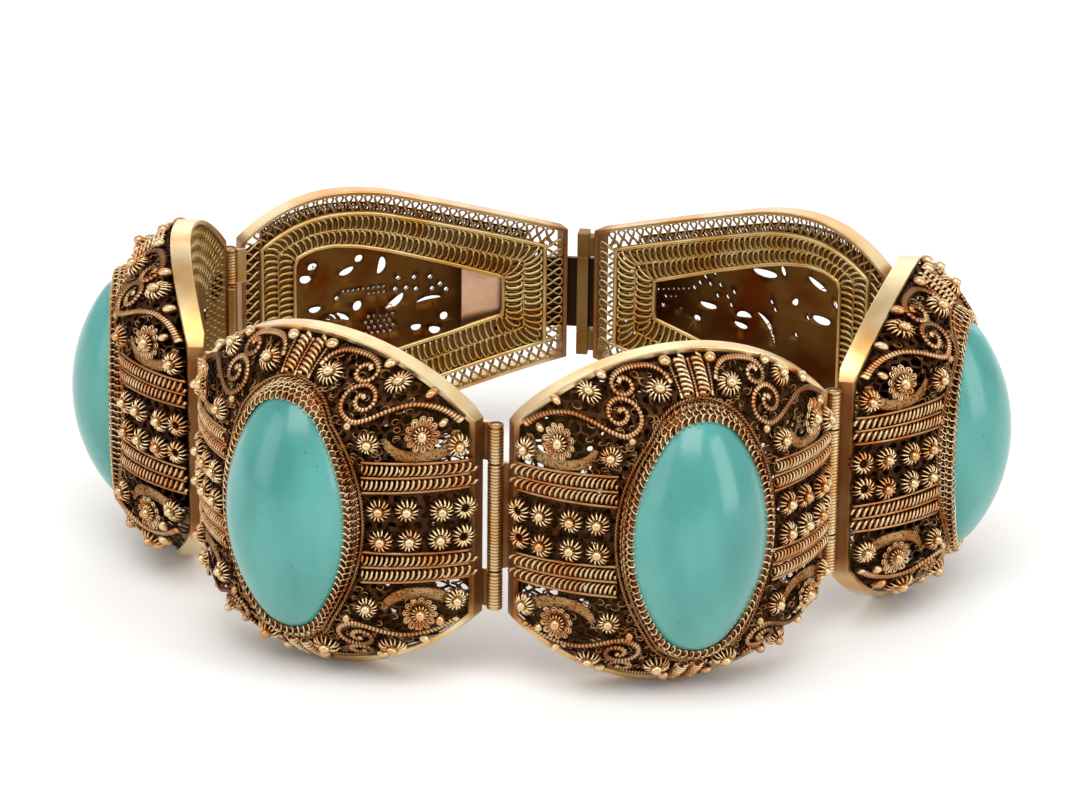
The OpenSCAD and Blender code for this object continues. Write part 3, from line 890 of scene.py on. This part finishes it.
def collar_wirework():
    """The woven collar: rows of linked loops on a leaning band, the last row bent over the stone."""
    bench = Bench()
    foot = collar_ring(FOOT_A, FOOT_B, FOOT_OUT)
    mouth = collar_ring(MOUTH_A, MOUTH_B, MOUTH_OUT)
    lip = collar_ring(STONE_HALF_W - 0.1, STONE_HALF_H, MOUTH_OUT + 0.12)
    rows = [woven_row(foot, mouth, share, half=0.4, loop=0.3, phase=phase)
            for share, phase in ((0.22, 0.0), (0.55, 1.9), (0.88, 3.9))]
    rows.append(woven_row(mouth, lip, 0.5, half=0.36, loop=0.26, phase=0.9))
    bench.wires(rows, WEAVE_WIRE, closed=True)
    # Band behind the rows, with the plain tube that runs from its foot to the inner sheet
    wall = bmesh.new()
    root = [Vector((p.x, -link_bow(p.x), p.z)) for p in foot]
    edges = [ring_edges(wall, [wall.verts.new(p) for p in ring]) for ring in (root, foot, mouth, lip)]
    for first, second in zip(edges, edges[1:]):
        bmesh.ops.bridge_loops(wall, edges=first + second)
    face_outward(wall)
    bmesh.ops.solidify(wall, geom=wall.faces[:], thickness=0.12)
    bench.add(wall, GROUND)
    # The band and the feet of the loops are painted dark as shade, the parts that stand out light as a
    # highlight
    bench.set_relief(off_collar, low=-0.04, high=0.3)
    return bench


# Holes in the inner sheet of a link: in each corner, by x, z, shift down and radius, and small ones by chance
CORNER_HOLES = ((11.3, 6.4, 0.8, 1.6), (7.9, 6.2, 1.9, 0.7))
SMALL_HOLE_R = 0.28
HOLE_COUNT = 70


def link_inner_sheet():
    """Flat sheet toward the wrist, pierced and edged with rows of loops."""
    inner = Bench()
    holes = [(sx * x, sz * z - down, r) for sx, sz in CORNERS for x, z, down, r in CORNER_HOLES]
    while len(holes) < HOLE_COUNT:
        x, z = stray(13), stray(14)
        if inside_outline(x, z, 1.5) and all(math.hypot(x - a, z - b) > r + 0.8 for a, b, r in holes):
            holes.append((x, z, SMALL_HOLE_R))
    rings = [[(x + r * math.cos(t + x), z + 0.9 * r * math.sin(t + x)) for t in round_angles(8)]
             for x, z, r in holes]
    inner.add(pierced_sheet(outline_line(0.6), rings, step=2.2, low=-0.1, thick=0.2), INNER, smooth=False)
    rows = [level(outline_line(inset), -0.24) for inset in (1.15, 2.2, 3.25, 4.3, 5.35)]
    routes = [coil(Path(line, closed=True), half=0.46, lift=0.12, pitch=0.72, points_a_turn=6, loop=0.12,
                   phase=k, uneven=0.1) for k, line in enumerate(rows)]
    inner.wires(routes, BRAID_WIRE, closed=True, finish=INNER)
    inner.bend(on_link_sheet, low=0.0, high=-0.5)
    return inner


def link_rim_painted_shade(place):
    """Bright along the top and bottom of a rim strip; its upright ends are painted darker as shade."""
    return 1.0 if abs(place.x) < LINK_HALF_W - 0.7 else 0.12 + max(abs(place.z) - 7.4, 0) / 3


def link_frame():
    """Rim strip, inner sheet and hinge knuckles of a link."""
    bench = Bench()
    bench.add(strip_ring(outline_line(0), link_bow, LINK_STRIP_T, LINK_STRIP_ENDS), STRIP)
    bench.set_relief(link_rim_painted_shade)
    bench.take(link_inner_sheet())
    rows = (OUTER_H, OUTER_Z, 1), (OUTER_H, -OUTER_Z, 1), (MIDDLE_H, 0, -1)
    bench.take(hinge_metal(rows, LINK_PITCH / 2))
    return bench


def stone_mesh():
    """Domed oval stone: half an oval spun about its upright axis and cut off flat at its seat."""
    made = bmesh.new()
    verts = [made.verts.new((x, -STONE_AXIS, z)) for x, z in oval_half(STONE_R, STONE_LONG)]
    edges = [made.edges.new(pair) for pair in zip(verts, verts[1:])]
    bmesh.ops.spin(made, geom=verts + edges, cent=(0, -STONE_AXIS, 0), axis=(0, 0, 1), angle=-math.pi,
                   steps=64)
    geom = made.verts[:] + made.edges[:] + made.faces[:]
    bmesh.ops.bisect_plane(made, geom=geom, plane_co=(0, -SEAT_TOP, 0), plane_no=(0, 1, 0), clear_outer=True)
    bmesh.ops.remove_doubles(made, verts=made.verts[:], dist=1e-4)
    bmesh.ops.contextual_create(made, geom=[e for e in made.edges if e.is_boundary])
    face_outward(made)
    for face in made.faces:
        face.smooth = len(face.verts) < 8
    return as_mesh(made, "stone")


# Shapes of a back panel
HINGE_U = BACK_PITCH - WALL_GAP
CROWN_R = ((CLASP_HALF_H + (CROWN_U - CLASP_GAP) * math.tan(SLOPE) - BACK_HALF_H)
           / (math.sin(SLOPE) * math.tan(SLOPE) - 1 + math.cos(SLOPE)))
SHOULDER_R = ((HINGE_U - CROWN_U) ** 2 + (BACK_HALF_H - SIDE_HALF_H) ** 2) / (2 * (BACK_HALF_H - SIDE_HALF_H))
# Corners of the window: u, height above the middle, depth below it; the right window sits higher
WINDOW = ((7.6, 1.9, 1.9), (13.0, 3.7, 3.4), (19.0, 5.6, 4.7), (22.0, 6.4, 5.4), (24.6, 6.8, 5.9),
          (26.8, 6.7, 5.9), (28.6, 6.0, 5.5))
RIGHT_WINDOW_RISE = 0.4
BORDER_INSET = 1.3
FRAME_INSET = 2.15
SHEET_INSET = 2.6
# The domed sheet is drawn out this far to the rear hinge
SHEET_REACH = 1.9


def at_u(u):
    """x of a place u from the clasp, and u of a place at x, in a panel's own frame."""
    return BACK_PITCH / 2 - u


def on_arc(r, inset, angle):
    return (CROWN_U + (r - inset) * math.sin(angle), BACK_HALF_H - r + (r - inset) * math.cos(angle))


def back_line(inset):
    """Outline of a back panel as (x, z), x in the panel's own frame."""
    high_u = HINGE_U - inset
    low_u = CLASP_GAP + inset
    turn = math.asin((high_u - CROWN_U) / (SHOULDER_R - inset))
    start = on_arc(CROWN_R, inset, -SLOPE)
    end_z = CLASP_HALF_H + inset * math.tan(SLOPE) - inset / math.cos(SLOPE)
    top = [(low_u + (start[0] - low_u) * i / 8, end_z + (start[1] - end_z) * i / 8) for i in range(8)]
    top += [on_arc(CROWN_R, inset, -SLOPE * (1 - i / 10)) for i in range(10)]
    top += [on_arc(SHOULDER_R, inset, turn * i / 10) for i in range(11)]
    side = [(high_u, top[-1][1] * (1 - i / 6)) for i in range(1, 12)]
    low = [(u, -z) for u, z in reversed(top)]
    end = [(low_u, -end_z * (1 - i / 5)) for i in range(1, 10)]
    return [(at_u(u), z) for u, z in top + side + low + end]


def back_bow(x):
    return bow_out(x, BACK_PITCH, BACK_BOW)


def back_half_height(u):
    if u < CROWN_U - CROWN_R * math.sin(SLOPE):
        return CLASP_HALF_H + (u - CLASP_GAP) * math.tan(SLOPE)
    r = CROWN_R if u < CROWN_U else SHOULDER_R
    return BACK_HALF_H - r + math.sqrt(max(r * r - (u - CROWN_U) ** 2, 0.0))


def on_back_dome(flat):
    """Bends a flat place (x, z, outward) over the domed sheet of a back panel."""
    x, z, lift = flat
    u = at_u(x)
    end = 1 - (1 - clamped(min(u - CLASP_GAP, HINGE_U - u) / 4.0)) ** 2.4
    t = min(1.0, abs(z) / back_half_height(u))
    return Vector((x, -(back_bow(x) + RIM_OUT - 0.5 + BACK_RISE * end * (1 - t ** 2.6) + lift), z))


def on_back_sheet(flat):
    return Vector((flat[0], -(back_bow(flat[0]) + flat[2]), flat[1]))


def pierced_sheet(outline, holes, step, low, thick):
    """A flat sheet filled between its outline and its holes, divided finely enough to bend."""
    made = bmesh.new()
    edges = []
    for line in [outline] + holes:
        edges += ring_edges(made, [made.verts.new((x, z, low)) for x, z in line])
    bmesh.ops.triangle_fill(made, use_beauty=True, use_dissolve=False, edges=edges, normal=(0, 0, 1))
    for axis in (0, 1):
        reach = max(abs(p[axis]) for p in outline)
        normal = Vector((1 - axis, axis, 0))
        for i in range(-int(reach / step), int(reach / step) + 1):
            geom = made.verts[:] + made.edges[:] + made.faces[:]
            bmesh.ops.bisect_plane(made, geom=geom, plane_co=normal * (i * step), plane_no=normal)
    thicken(made, thick)
    return made


def crescent(u, z, long, wide, turn, bend):
    """Outline of a curved gap between two scrolls, turned by an angle toward the clasp."""
    line = []
    for t in round_angles(14):
        x = long * math.cos(t)
        y = wide * math.sin(t) + bend * (x / long) ** 2
        line.append((at_u(u) + x * math.cos(turn) - y * math.sin(turn),
                     z + x * math.sin(turn) + y * math.cos(turn)))
    return line


def eye(u, z, r):
    return crescent(u, z, r, r, 0, 0)


def row_of_eyes(count, u, z, step, rise, r):
    return [(u + step * i, z + rise * i, r) for i in range(count)]


# Gaps in the domed sheets: u, z, half length, half width, turn in degrees toward the clasp, bend
GAPS_LEFT = ((25.4, 3.6, 0.5, 0.4, 0, 0), (26.1, 2.4, 0.65, 0.42, -10, 0.1), (21.8, 2.6, 0.8, 0.36, 20, 0.1),
             (20.6, 3.8, 0.42, 0.4, 0, 0), (18.2, 2.8, 0.9, 0.42, 80, 0.2), (20.7, -1, 0.52, 0.46, 60, 0),
             (25.1, -0.8, 0.65, 0.32, 0, 0.1), (23.1, -1.7, 1.6, 0.34, 0, -0.6),
             (16.8, -1.1, 1.15, 0.4, 36, 0.2), (13.5, -1, 1.3, 0.2, 8, -0.2), (12, -2.9, 0.42, 0.4, 30, 0),
             (14.8, -3.8, 0.55, 0.32, 0, 0.1), (13, -4.2, 0.6, 0.36, -10, 0.1),
             (22.7, -6.9, 1.4, 0.34, 8, 0.3))
GAPS_RIGHT = ((17.2, 3.8, 1.4, 0.42, 0, 0.1), (19.3, 4.5, 0.55, 0.3, 80, 0), (23.2, 4, 1.2, 0.38, 24, 0.1),
              (23.7, 0.5, 1.15, 0.44, 0, 0.1), (10.9, -0.7, 0.95, 0.32, 4, 0.1),
              (14.8, -0.8, 0.9, 0.32, -6, -0.2), (14.5, -2, 0.8, 0.3, 8, 0.1),
              (17.7, -1.4, 1.8, 0.3, 53, -0.5), (25.4, 2.5, 0.5, 0.34, 60, 0),
              (20.6, 1.6, 0.5, 0.3, -40, 0.1), (9.8, -2.1, 0.4, 0.3, 0, 0), (21.4, -5.8, 1.3, 0.34, -8, 0.3))
# Round eyes in the domed sheets, each with its ring: u, z, radius
EYES_LEFT = (row_of_eyes(9, 18.0, 0.65, 0.52, 0, 0.17) + row_of_eyes(4, 18.0, 0.1, 0.5, 0, 0.17)
             + [(u, z, 0.26) for u, z in ((16.5, 1.3), (14.9, 1.2), (13.3, 1.1), (16.8, 0.2), (15.7, 0.2),
                                          (14.7, 0.0), (13.1, -0.1), (12.3, 0.3), (11.7, -0.3), (22.8, 0.0))]
             + [(17.1 + 0.62 * i + 0.31 * (j % 2), -2.2 - 0.55 * j, 0.18)
                for j in range(4) for i in range(5)])
EYES_RIGHT = (row_of_eyes(7, 5.6, 0.1, 0.52, 0.1, 0.17) + row_of_eyes(3, 6.4, -0.5, 0.5, 0.1, 0.17)
              + [(u, z, 0.24) for u, z in ((10.6, 2.2), (10.0, 1.5), (11.1, 1.55), (12.2, 1.65), (11.6, 2.75),
                                           (9.4, 0.9), (11.9, 0.5), (13.0, 0.6), (13.7, 1.2), (13.4, -0.15),
                                           (17.9, 1.05), (18.3, 0.35), (20.8, -1.6), (22.1, 0.4), (6.2, -1.4),
                                           (8.0, -1.5))])
# Small holes in the inner frame near the clasp: u, z
PEEPS = ((5.0, 0.6), (4.6, -2.2), (5.6, -3.4), (6.4, -2.6), (5.2, 2.8), (6.3, 3.0), (8.2, -3.3), (9.6, 3.9),
         (4.4, 4.0))
# Ornament of the domed sheets: spirals with radius, granules, rosettes with size
BACK_SPIRALS = ((23.9, -2.8, 1.6), (26.4, 6.2, 0.9), (8.6, 3.3, 0.5))
SPIRAL_TURNS = 2.6
BACK_GRANULES = ((6.6, 0.6), (9.6, 4.2), (13.6, 5.0), (16.2, 6.2), (22.2, 8.0), (29.4, 2.6), (29.6, -2.4),
                 (9.0, -3.8), (13.0, -5.6), (15.6, -6.4), (21.6, -8.2), (24.6, -8.0))
BACK_ROSETTES = ((24.2, 2.6, 1.1), (17.6, -2.4, 1.0), (29.0, 5.6, 0.9), (27.4, -6.2, 0.95), (19.4, 6.8, 0.95),
                 (11.2, 3.6, 0.8), (18.2, -6.2, 0.9), (7.4, -2.2, 0.8))
AROUND = 150


def back_rim_painted_shade(place):
    """Bright along a back panel's rim; its ends, at the clasp and at the hinge, are painted darker as shade.
    """
    return 0.9 if CLASP_GAP + 0.6 < at_u(place.x) < HINGE_U - 0.6 else 0.3


def open_border(pitch=0.96):
    """Figures of eight in thin wire, side by side round the inner frame, which leave the border open."""
    path = Path(level(back_line(BORDER_INSET), -0.25), closed=True)
    count = round(path.length / pitch)
    angles = [TURN * (i + 0.5) / 12 for i in range(12)]
    loops = []
    for k in range(count):
        place, along, side, up = path.frame(path.length * (k + 0.5) / count)
        loops.append([place + along * (0.4 * math.sin(2 * t)) + side * (0.92 * math.cos(t))
                      + up * (0.1 * math.sin(t)) for t in angles])
    border = Bench()
    border.wires(loops, EDGE_WIRE, closed=True, finish=INNER)
    border.bend(on_back_sheet, low=0.1, high=-0.5)
    return border


def inner_frame(hand):
    """Frame wire, sheet with its window, and the two rows of loops between them."""
    inner = Bench()
    frame_path = Path(level(back_line(FRAME_INSET), -0.5), closed=True)
    inner.wires([frame_path.points[:-1]], FRAME_WIRE, sides=6, closed=True, finish=INNER)
    raised = RIGHT_WINDOW_RISE if hand > 0 else 0.0
    pane = [(at_u(u), high + raised) for u, high, low in WINDOW]
    pane += [(at_u(u), raised - low) for u, high, low in reversed(WINDOW)]
    window_path = Path(level(pane, -0.5), closed=True)
    inner.wires([window_path.divided(60)], FRAME_WIRE, sides=6, closed=True, finish=INNER)
    peeps = [eye(u, z, 0.2) for u, z in PEEPS]
    sheet = pierced_sheet(back_line(FRAME_INSET), [pane] + peeps, step=3.0, low=-0.2, thick=0.16)
    inner.add(sheet, INNER, smooth=False)
    outer = frame_path.divided(AROUND)
    dense = window_path.divided(300)
    nearest = [min(dense, key=lambda w, f=f: (w - f).length_squared) for f in outer]
    nearest = [(nearest[i - 2] + nearest[i - 1] + nearest[i] + nearest[(i + 1) % AROUND]
                + nearest[(i + 2) % AROUND]) / 5 for i in range(AROUND)]
    side = [(w - f).normalized() for f, w in zip(outer, nearest)]
    gap = [(w - f).length for f, w in zip(outer, nearest)]
    up = [Vector((0, 0, 1))] * AROUND
    for share, phase in ((0.28, 0.0), (0.73, 1.3)):
        line = Path([f.lerp(w, share) for f, w in zip(outer, nearest)], closed=True, side=side, up=up)
        route = coil(line, lambda s: 0.215 * gap[int(s * AROUND) % AROUND], lift=0.16, pitch=0.62,
                     points_a_turn=9, lean=0.05, loop=0.27, phase=phase, uneven=0.12)
        inner.wires([route], EDGE_WIRE, closed=True, finish=INNER)
    middle = [f.lerp(w, 0.5) for f, w in zip(outer, nearest)]
    inner.wires([middle], STAY_WIRE, closed=True, finish=INNER)
    inner.bend(on_back_sheet, low=-0.2, high=-0.66)
    return inner


def domed_sheet(eyes, gaps):
    """Domed sheet with its gaps and ringed eyes, red-brown inside, and the ornament on its outer side."""
    dome = Bench()
    edge = back_line(SHEET_INSET)
    last_x = at_u(HINGE_U) + SHEET_INSET + 0.05
    sheet = [(x - (SHEET_REACH if x < last_x else 0.0), z) for x, z in edge]
    holes = [eye(*place) for place in eyes]
    holes += [crescent(u, z, a, b, math.radians(t), c) for u, z, a, b, t, c in gaps]
    dome.add(pierced_sheet(sheet, holes, step=1.15, low=-0.3, thick=0.3), GRAINED)
    dome.wires([level(edge, -0.15)], SHEET_WIRE, sides=6, closed=True)
    dome.bm.normal_update()
    for face in dome.bm.faces:
        if face.normal.z < -0.4:
            face.material_index = SHEET_BACK
    rings = [level(eye(u, z, r + 0.06)[::2], lift) for u, z, r in eyes for lift in (0.0, -0.32)]
    dome.wires(rings, EYE_WIRE, closed=True)
    for u, z, r in BACK_SPIRALS:
        spiral = [(at_u(u) + r * (1 - 0.8 * i / 60) * math.cos(SPIRAL_TURNS * TURN * i / 60),
                   z + r * (1 - 0.8 * i / 60) * math.sin(SPIRAL_TURNS * TURN * i / 60)) for i in range(61)]
        dome.wires([level(spiral, -0.34)], STAY_WIRE, finish=SHEET_BACK)
        dome.wires([ribbed_wire(spiral[::3], lift=0.16)], SHEET_WIRE, sides=6)
    centres = [(at_u(u), z, r + 0.35) for u, z, r in eyes]
    centres += [(at_u(gap[0]), gap[1], gap[2] + 0.35) for gap in gaps]

    def solid_here(x, z):
        return (4.6 < at_u(x) < HINGE_U - 1.5 and abs(z) < back_half_height(at_u(x)) - 3.4
                and all(math.hypot(x - a, z - b) > r for a, b, r in centres))

    filling(dome, solid_here, 240, BACK_PITCH / 2, BACK_HALF_H)
    for u, z in BACK_GRANULES:
        dome.granule((at_u(u), z, 0.36), 0.42)
    for u, z, size in BACK_ROSETTES:
        rosette(dome, at_u(u), z, size, 14)
    for sz in (-1, 1):
        line = [(at_u(u), sz * (back_half_height(u) - 2.4)) for u in [4.2 + 0.6 * i for i in range(46)]]
        braid(dome, level(line, 0.05), 0.46)
        for shift in (-0.56, 0.56):
            dome.wires([level([(x, z + sz * shift) for x, z in line], 0.12)], EDGE_WIRE, sides=6)
    dome.bend(on_back_dome, low=-0.35, high=0.7)
    return dome


def back_panel(hand):
    """A back panel in its own frame; hand is 1 for the right one, -1 for the left."""
    bench = Bench()
    bench.add(strip_ring(back_line(0), back_bow, BACK_STRIP_T), STRIP)
    bench.set_relief(back_rim_painted_shade)
    bench.take(open_border())
    bench.take(inner_frame(hand))
    bench.take(domed_sheet(EYES_RIGHT, GAPS_RIGHT) if hand > 0 else domed_sheet(EYES_LEFT, GAPS_LEFT))
    rows = ((MIDDLE_H, 0.0, -1),) if hand > 0 else ((OUTER_H, OUTER_Z, -1), (OUTER_H, -OUTER_Z, -1))
    bench.take(hinge_metal(rows, BACK_PITCH / 2))
    return bench


# Clasp box, in millimetres from the clasp: its length, depth and half height, the slot, and the cheeks
BOX_LOW_X, BOX_HIGH_X = -0.35, 0.75
BOX_FRONT, BOX_BACK = -1.02, 0.72
BOX_HALF_H = CLASP_HALF_H - 0.35
SLOT_Z = 3.77
SLOT_FRONT, SLOT_BACK = -0.74, 0.44
CHEEK_SET = 0.4
CHEEK = ((0.6, -0.85), (1.6, -0.85), (2.35, 0.55), (0.6, 0.55))


def clasp_box():
    """The open box of the clasp on the end of the right panel: four bars and two cheeks."""
    bench = Bench()
    for low_y, high_y, low_z, high_z in ((BOX_FRONT, BOX_BACK, SLOT_Z, BOX_HALF_H),
                                         (BOX_FRONT, BOX_BACK, -BOX_HALF_H, -SLOT_Z),
                                         (BOX_FRONT, SLOT_FRONT, -SLOT_Z, SLOT_Z),
                                         (SLOT_BACK, BOX_BACK, -SLOT_Z, SLOT_Z)):
        bar = beveled_box((BOX_LOW_X, low_y, low_z), (BOX_HIGH_X, high_y, high_z), 0.09)
        bench.add(bar, INNER, smooth=False)
    for z in (SLOT_Z, CHEEK_SET - BOX_HALF_H):
        cheek = bmesh.new()
        face = cheek.faces.new([cheek.verts.new((x, y, z)) for x, y in CHEEK])
        extrude_up(cheek, [face], BOX_HALF_H - CHEEK_SET - SLOT_Z)
        soften(cheek, cheek.edges[:], 0.07)
        bench.add(cheek, INNER, smooth=False)
    # The box is one middling tone; its cheeks are painted darker past x 0.8 mm as the shade where they reach
    # into the panel
    bench.set_relief(lambda p: 0.42 - 0.2 * (p.x > 0.8))
    return bench


# Polished turquoise: opaque blue-green stone, waxy depth, faint veils and a darker streak
def turquoise():
    made, tree, shader = new_material("polished_turquoise")
    coords = add_node(tree, "ShaderNodeTexCoord").outputs["Object"]
    stretch = add_node(tree, "ShaderNodeMapping", {"Scale": (1.0, 1.0, 0.35)}, Vector=coords)
    cloud = add_node(tree, "ShaderNodeTexNoise", {"Scale": 1 / (6 * MM), "Detail": 3.0, "Roughness": 0.45},
                     Vector=stretch.outputs["Vector"]).outputs["Fac"]
    tone = ramp(tree, cloud, ((0.36, "#35827B"), (0.5, "#428F87"), (0.66, "#519D95")))
    specks = add_node(tree, "ShaderNodeTexNoise", {"Scale": 1 / (0.5 * MM), "Detail": 2.0}, Vector=coords)
    veil = ramp(tree, specks.outputs["Fac"], ((0.24, "#FFFFFF"), (0.3, "#000000")))
    shade(tree, shader, mix_colour(tree, veil, tone, "#3E6F66"),
          {"Roughness": 0.2, "IOR": 1.61, "Subsurface Weight": 0.12, "Subsurface Scale": 1.0,
           "Subsurface Radius": (0.6 * MM, 1.0 * MM, 0.9 * MM)})
    return made


def plain_metal(name, dark, light, rough, patch_mm, painted_shade_from=None):
    """Sheet or pin without relief; its last argument, if given, is the x in millimetres past which it is
    painted near black as shade.
    """
    made, tree, shader = new_material(name)
    tone = ramp(tree, blotches(tree, patch_mm), ((0.35, dark), (0.65, light)))
    if painted_shade_from is not None:
        coords = add_node(tree, "ShaderNodeTexCoord").outputs["Object"]
        along = add_node(tree, "ShaderNodeSeparateXYZ", Vector=coords).outputs["X"]
        reach = {"From Min": painted_shade_from * MM, "From Max": (painted_shade_from + 1.2) * MM}
        near = add_node(tree, "ShaderNodeMapRange", reach, Value=along).outputs["Result"]
        tone = mix_colour(tree, near, tone, "#2E2014")
    shade(tree, shader, tone, {"Metallic": 1.0, "Roughness": rough})
    bump(tree, shader, blotches(tree, 0.15, 1.0), 0.01)
    return made


# Assembly
def new_object(name, data):
    """Adds an object to the scene."""
    made = bpy.data.objects.new(name, data)
    bpy.context.scene.collection.objects.link(made)
    return made


def show(mesh, matrix, name, body, node=None):
    """Places a finished mesh in the bracelet as a piece that rides on a body."""
    mesh.transform(matrix)
    mesh.update()
    piece = new_object(name, mesh)
    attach(piece, body)
    if node:
        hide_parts(node)


def mirror(mesh):
    """Turns a mesh left for right, with its faces still pointing outward."""
    made = bmesh.new()
    made.from_mesh(mesh)
    bmesh.ops.transform(made, matrix=Matrix.Scale(-1, 4, (1, 0, 0)), verts=made.verts[:])
    bmesh.ops.reverse_faces(made, faces=made.faces[:])
    made.to_mesh(mesh)
    made.free()


face = face_wirework()
face.take(collar_wirework())
wirework = face.finish("link_wirework")
link_metal = link_frame().finish("link_frame")
stone_form = stone_mesh()
stone_form.materials.append(turquoise())
LINKS = (("front_right", P_FRONT, HEAD_FRONT), ("far_right", P_SIDE, HEAD_SIDE),
         ("front_left", (-P_SIDE.x, P_SIDE.y), -HEAD_FRONT), ("far_left", (-P_REAR.x, P_REAR.y), -HEAD_SIDE))
for place, start, heading in LINKS:
    matrix = placed(start, heading, LINK_PITCH)
    body = "link_" + place
    show(link_metal.copy(), matrix, "rim_and_hinges_" + place, body, "link_" + place)
    show(wirework.copy(), matrix, "filigree_face_" + place, body)
    show(stone_form.copy(), matrix, "cabochon_" + place, body, "stone_" + place)
matrix = placed(P_REAR, HEAD_BACK, BACK_PITCH)
right = back_panel(1).finish("back")
show(right, matrix, "openwork_panel_right", "back_right", "back_panel_right")
left = back_panel(-1).finish("back")
left.transform(matrix)
mirror(left)
show(left, Matrix.Identity(4), "openwork_panel_left", "back_left", "back_panel_left")
at_clasp = Matrix.Scale(MM, 4) @ Matrix.Translation((P_CLASP.x, P_CLASP.y, MID_Z))
show(clasp_box().finish("clasp"), at_clasp, "clasp_box", "back_right")

# Rolled copper alloy tongue, and drawn brass pins
# The tongue is painted near black from x -6.5 mm toward the clasp, as the shade in the gap and the box
COPPER = plain_metal("rolled_copper_tongue", "#ECBA96", "#FFE0C4", 0.34, 2.5, painted_shade_from=-6.5)
BRASS_PIN = plain_metal("drawn_brass_pin", "#8A6A3C", "#C9A468", 0.3, 0.8)
for name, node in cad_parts.items():
    if name == "clasp_tongue" or name.startswith("hinge_pin"):
        node.data.materials.clear()
        node.data.materials.append(COPPER if name == "clasp_tongue" else BRASS_PIN)


# Floor, light and camera
def floor():
    """A plain pale card to stand on."""
    made = bmesh.new()
    bmesh.ops.create_grid(made, x_segments=2, y_segments=2, size=3.0)
    mesh = as_mesh(made, "floor")
    material, tree, shader = new_material("white_card")
    tone = ramp(tree, blotches(tree, 400.0), ((0.3, "#F2F1EF"), (0.7, "#F7F6F4")))
    shade(tree, shader, tone, {"Roughness": 0.9})
    mesh.materials.append(material)
    new_object("floor", mesh)


def softbox(name, place, target, size, power):
    light = bpy.data.lights.new(name, "AREA")
    light.shape = "RECTANGLE"
    light.size, light.size_y = size
    light.energy = power
    lamp = new_object(name, light)
    lamp.location = place
    lamp.rotation_euler = (Vector(target) - Vector(place)).to_track_quat("-Z", "Y").to_euler()


# The camera as fitted to the photograph: focal length over picture width, place in metres, and turns
FOCAL_SHARE = 4566.2 / 1080
SENSOR_MM = 36.0
CAMERA_PLACE = (0.04846, -0.3806, 0.1555)
AZIMUTH, ELEVATION, ROLL = (math.radians(a) for a in (7.242, 20.162, 0.626))


def camera():
    data = bpy.data.cameras.new("camera")
    data.sensor_width = SENSOR_MM
    data.sensor_fit = "HORIZONTAL"
    data.lens = FOCAL_SHARE * SENSOR_MM
    data.clip_start = 0.01
    data.clip_end = 20.0
    stand = new_object("camera", data)
    view = Vector((-math.sin(AZIMUTH) * math.cos(ELEVATION), math.cos(AZIMUTH) * math.cos(ELEVATION),
                   -math.sin(ELEVATION)))
    aim = view.to_track_quat("-Z", "Y").to_matrix().to_4x4() @ Matrix.Rotation(ROLL, 4, "Z")
    stand.matrix_world = Matrix.Translation(CAMERA_PLACE) @ aim
    bpy.context.scene.camera = stand


floor()
softbox("soft_top", (0.0, -0.55, 1.05), (0, 0, 0.01), (0.9, 0.9), power=8.0)
softbox("soft_back", (0.0, 1.3, 0.6), (0, 0, 0.02), (2.2, 1.0), power=6.5)
softbox("soft_left", (-0.9, -0.6, 0.5), (0, 0, 0.015), (0.7, 0.9), power=2.5)
softbox("soft_right", (1.0, -0.35, 0.45), (0, 0, 0.015), (0.6, 0.9), power=4.0)
world = bpy.data.worlds.new("studio")
world.use_nodes = True
world.node_tree.nodes["Background"].inputs["Color"].default_value = linear("#FFFFFF")
world.node_tree.nodes["Background"].inputs["Strength"].default_value = 0.75
bpy.context.scene.world = world
bpy.context.scene.view_settings.view_transform = "Standard"
camera()
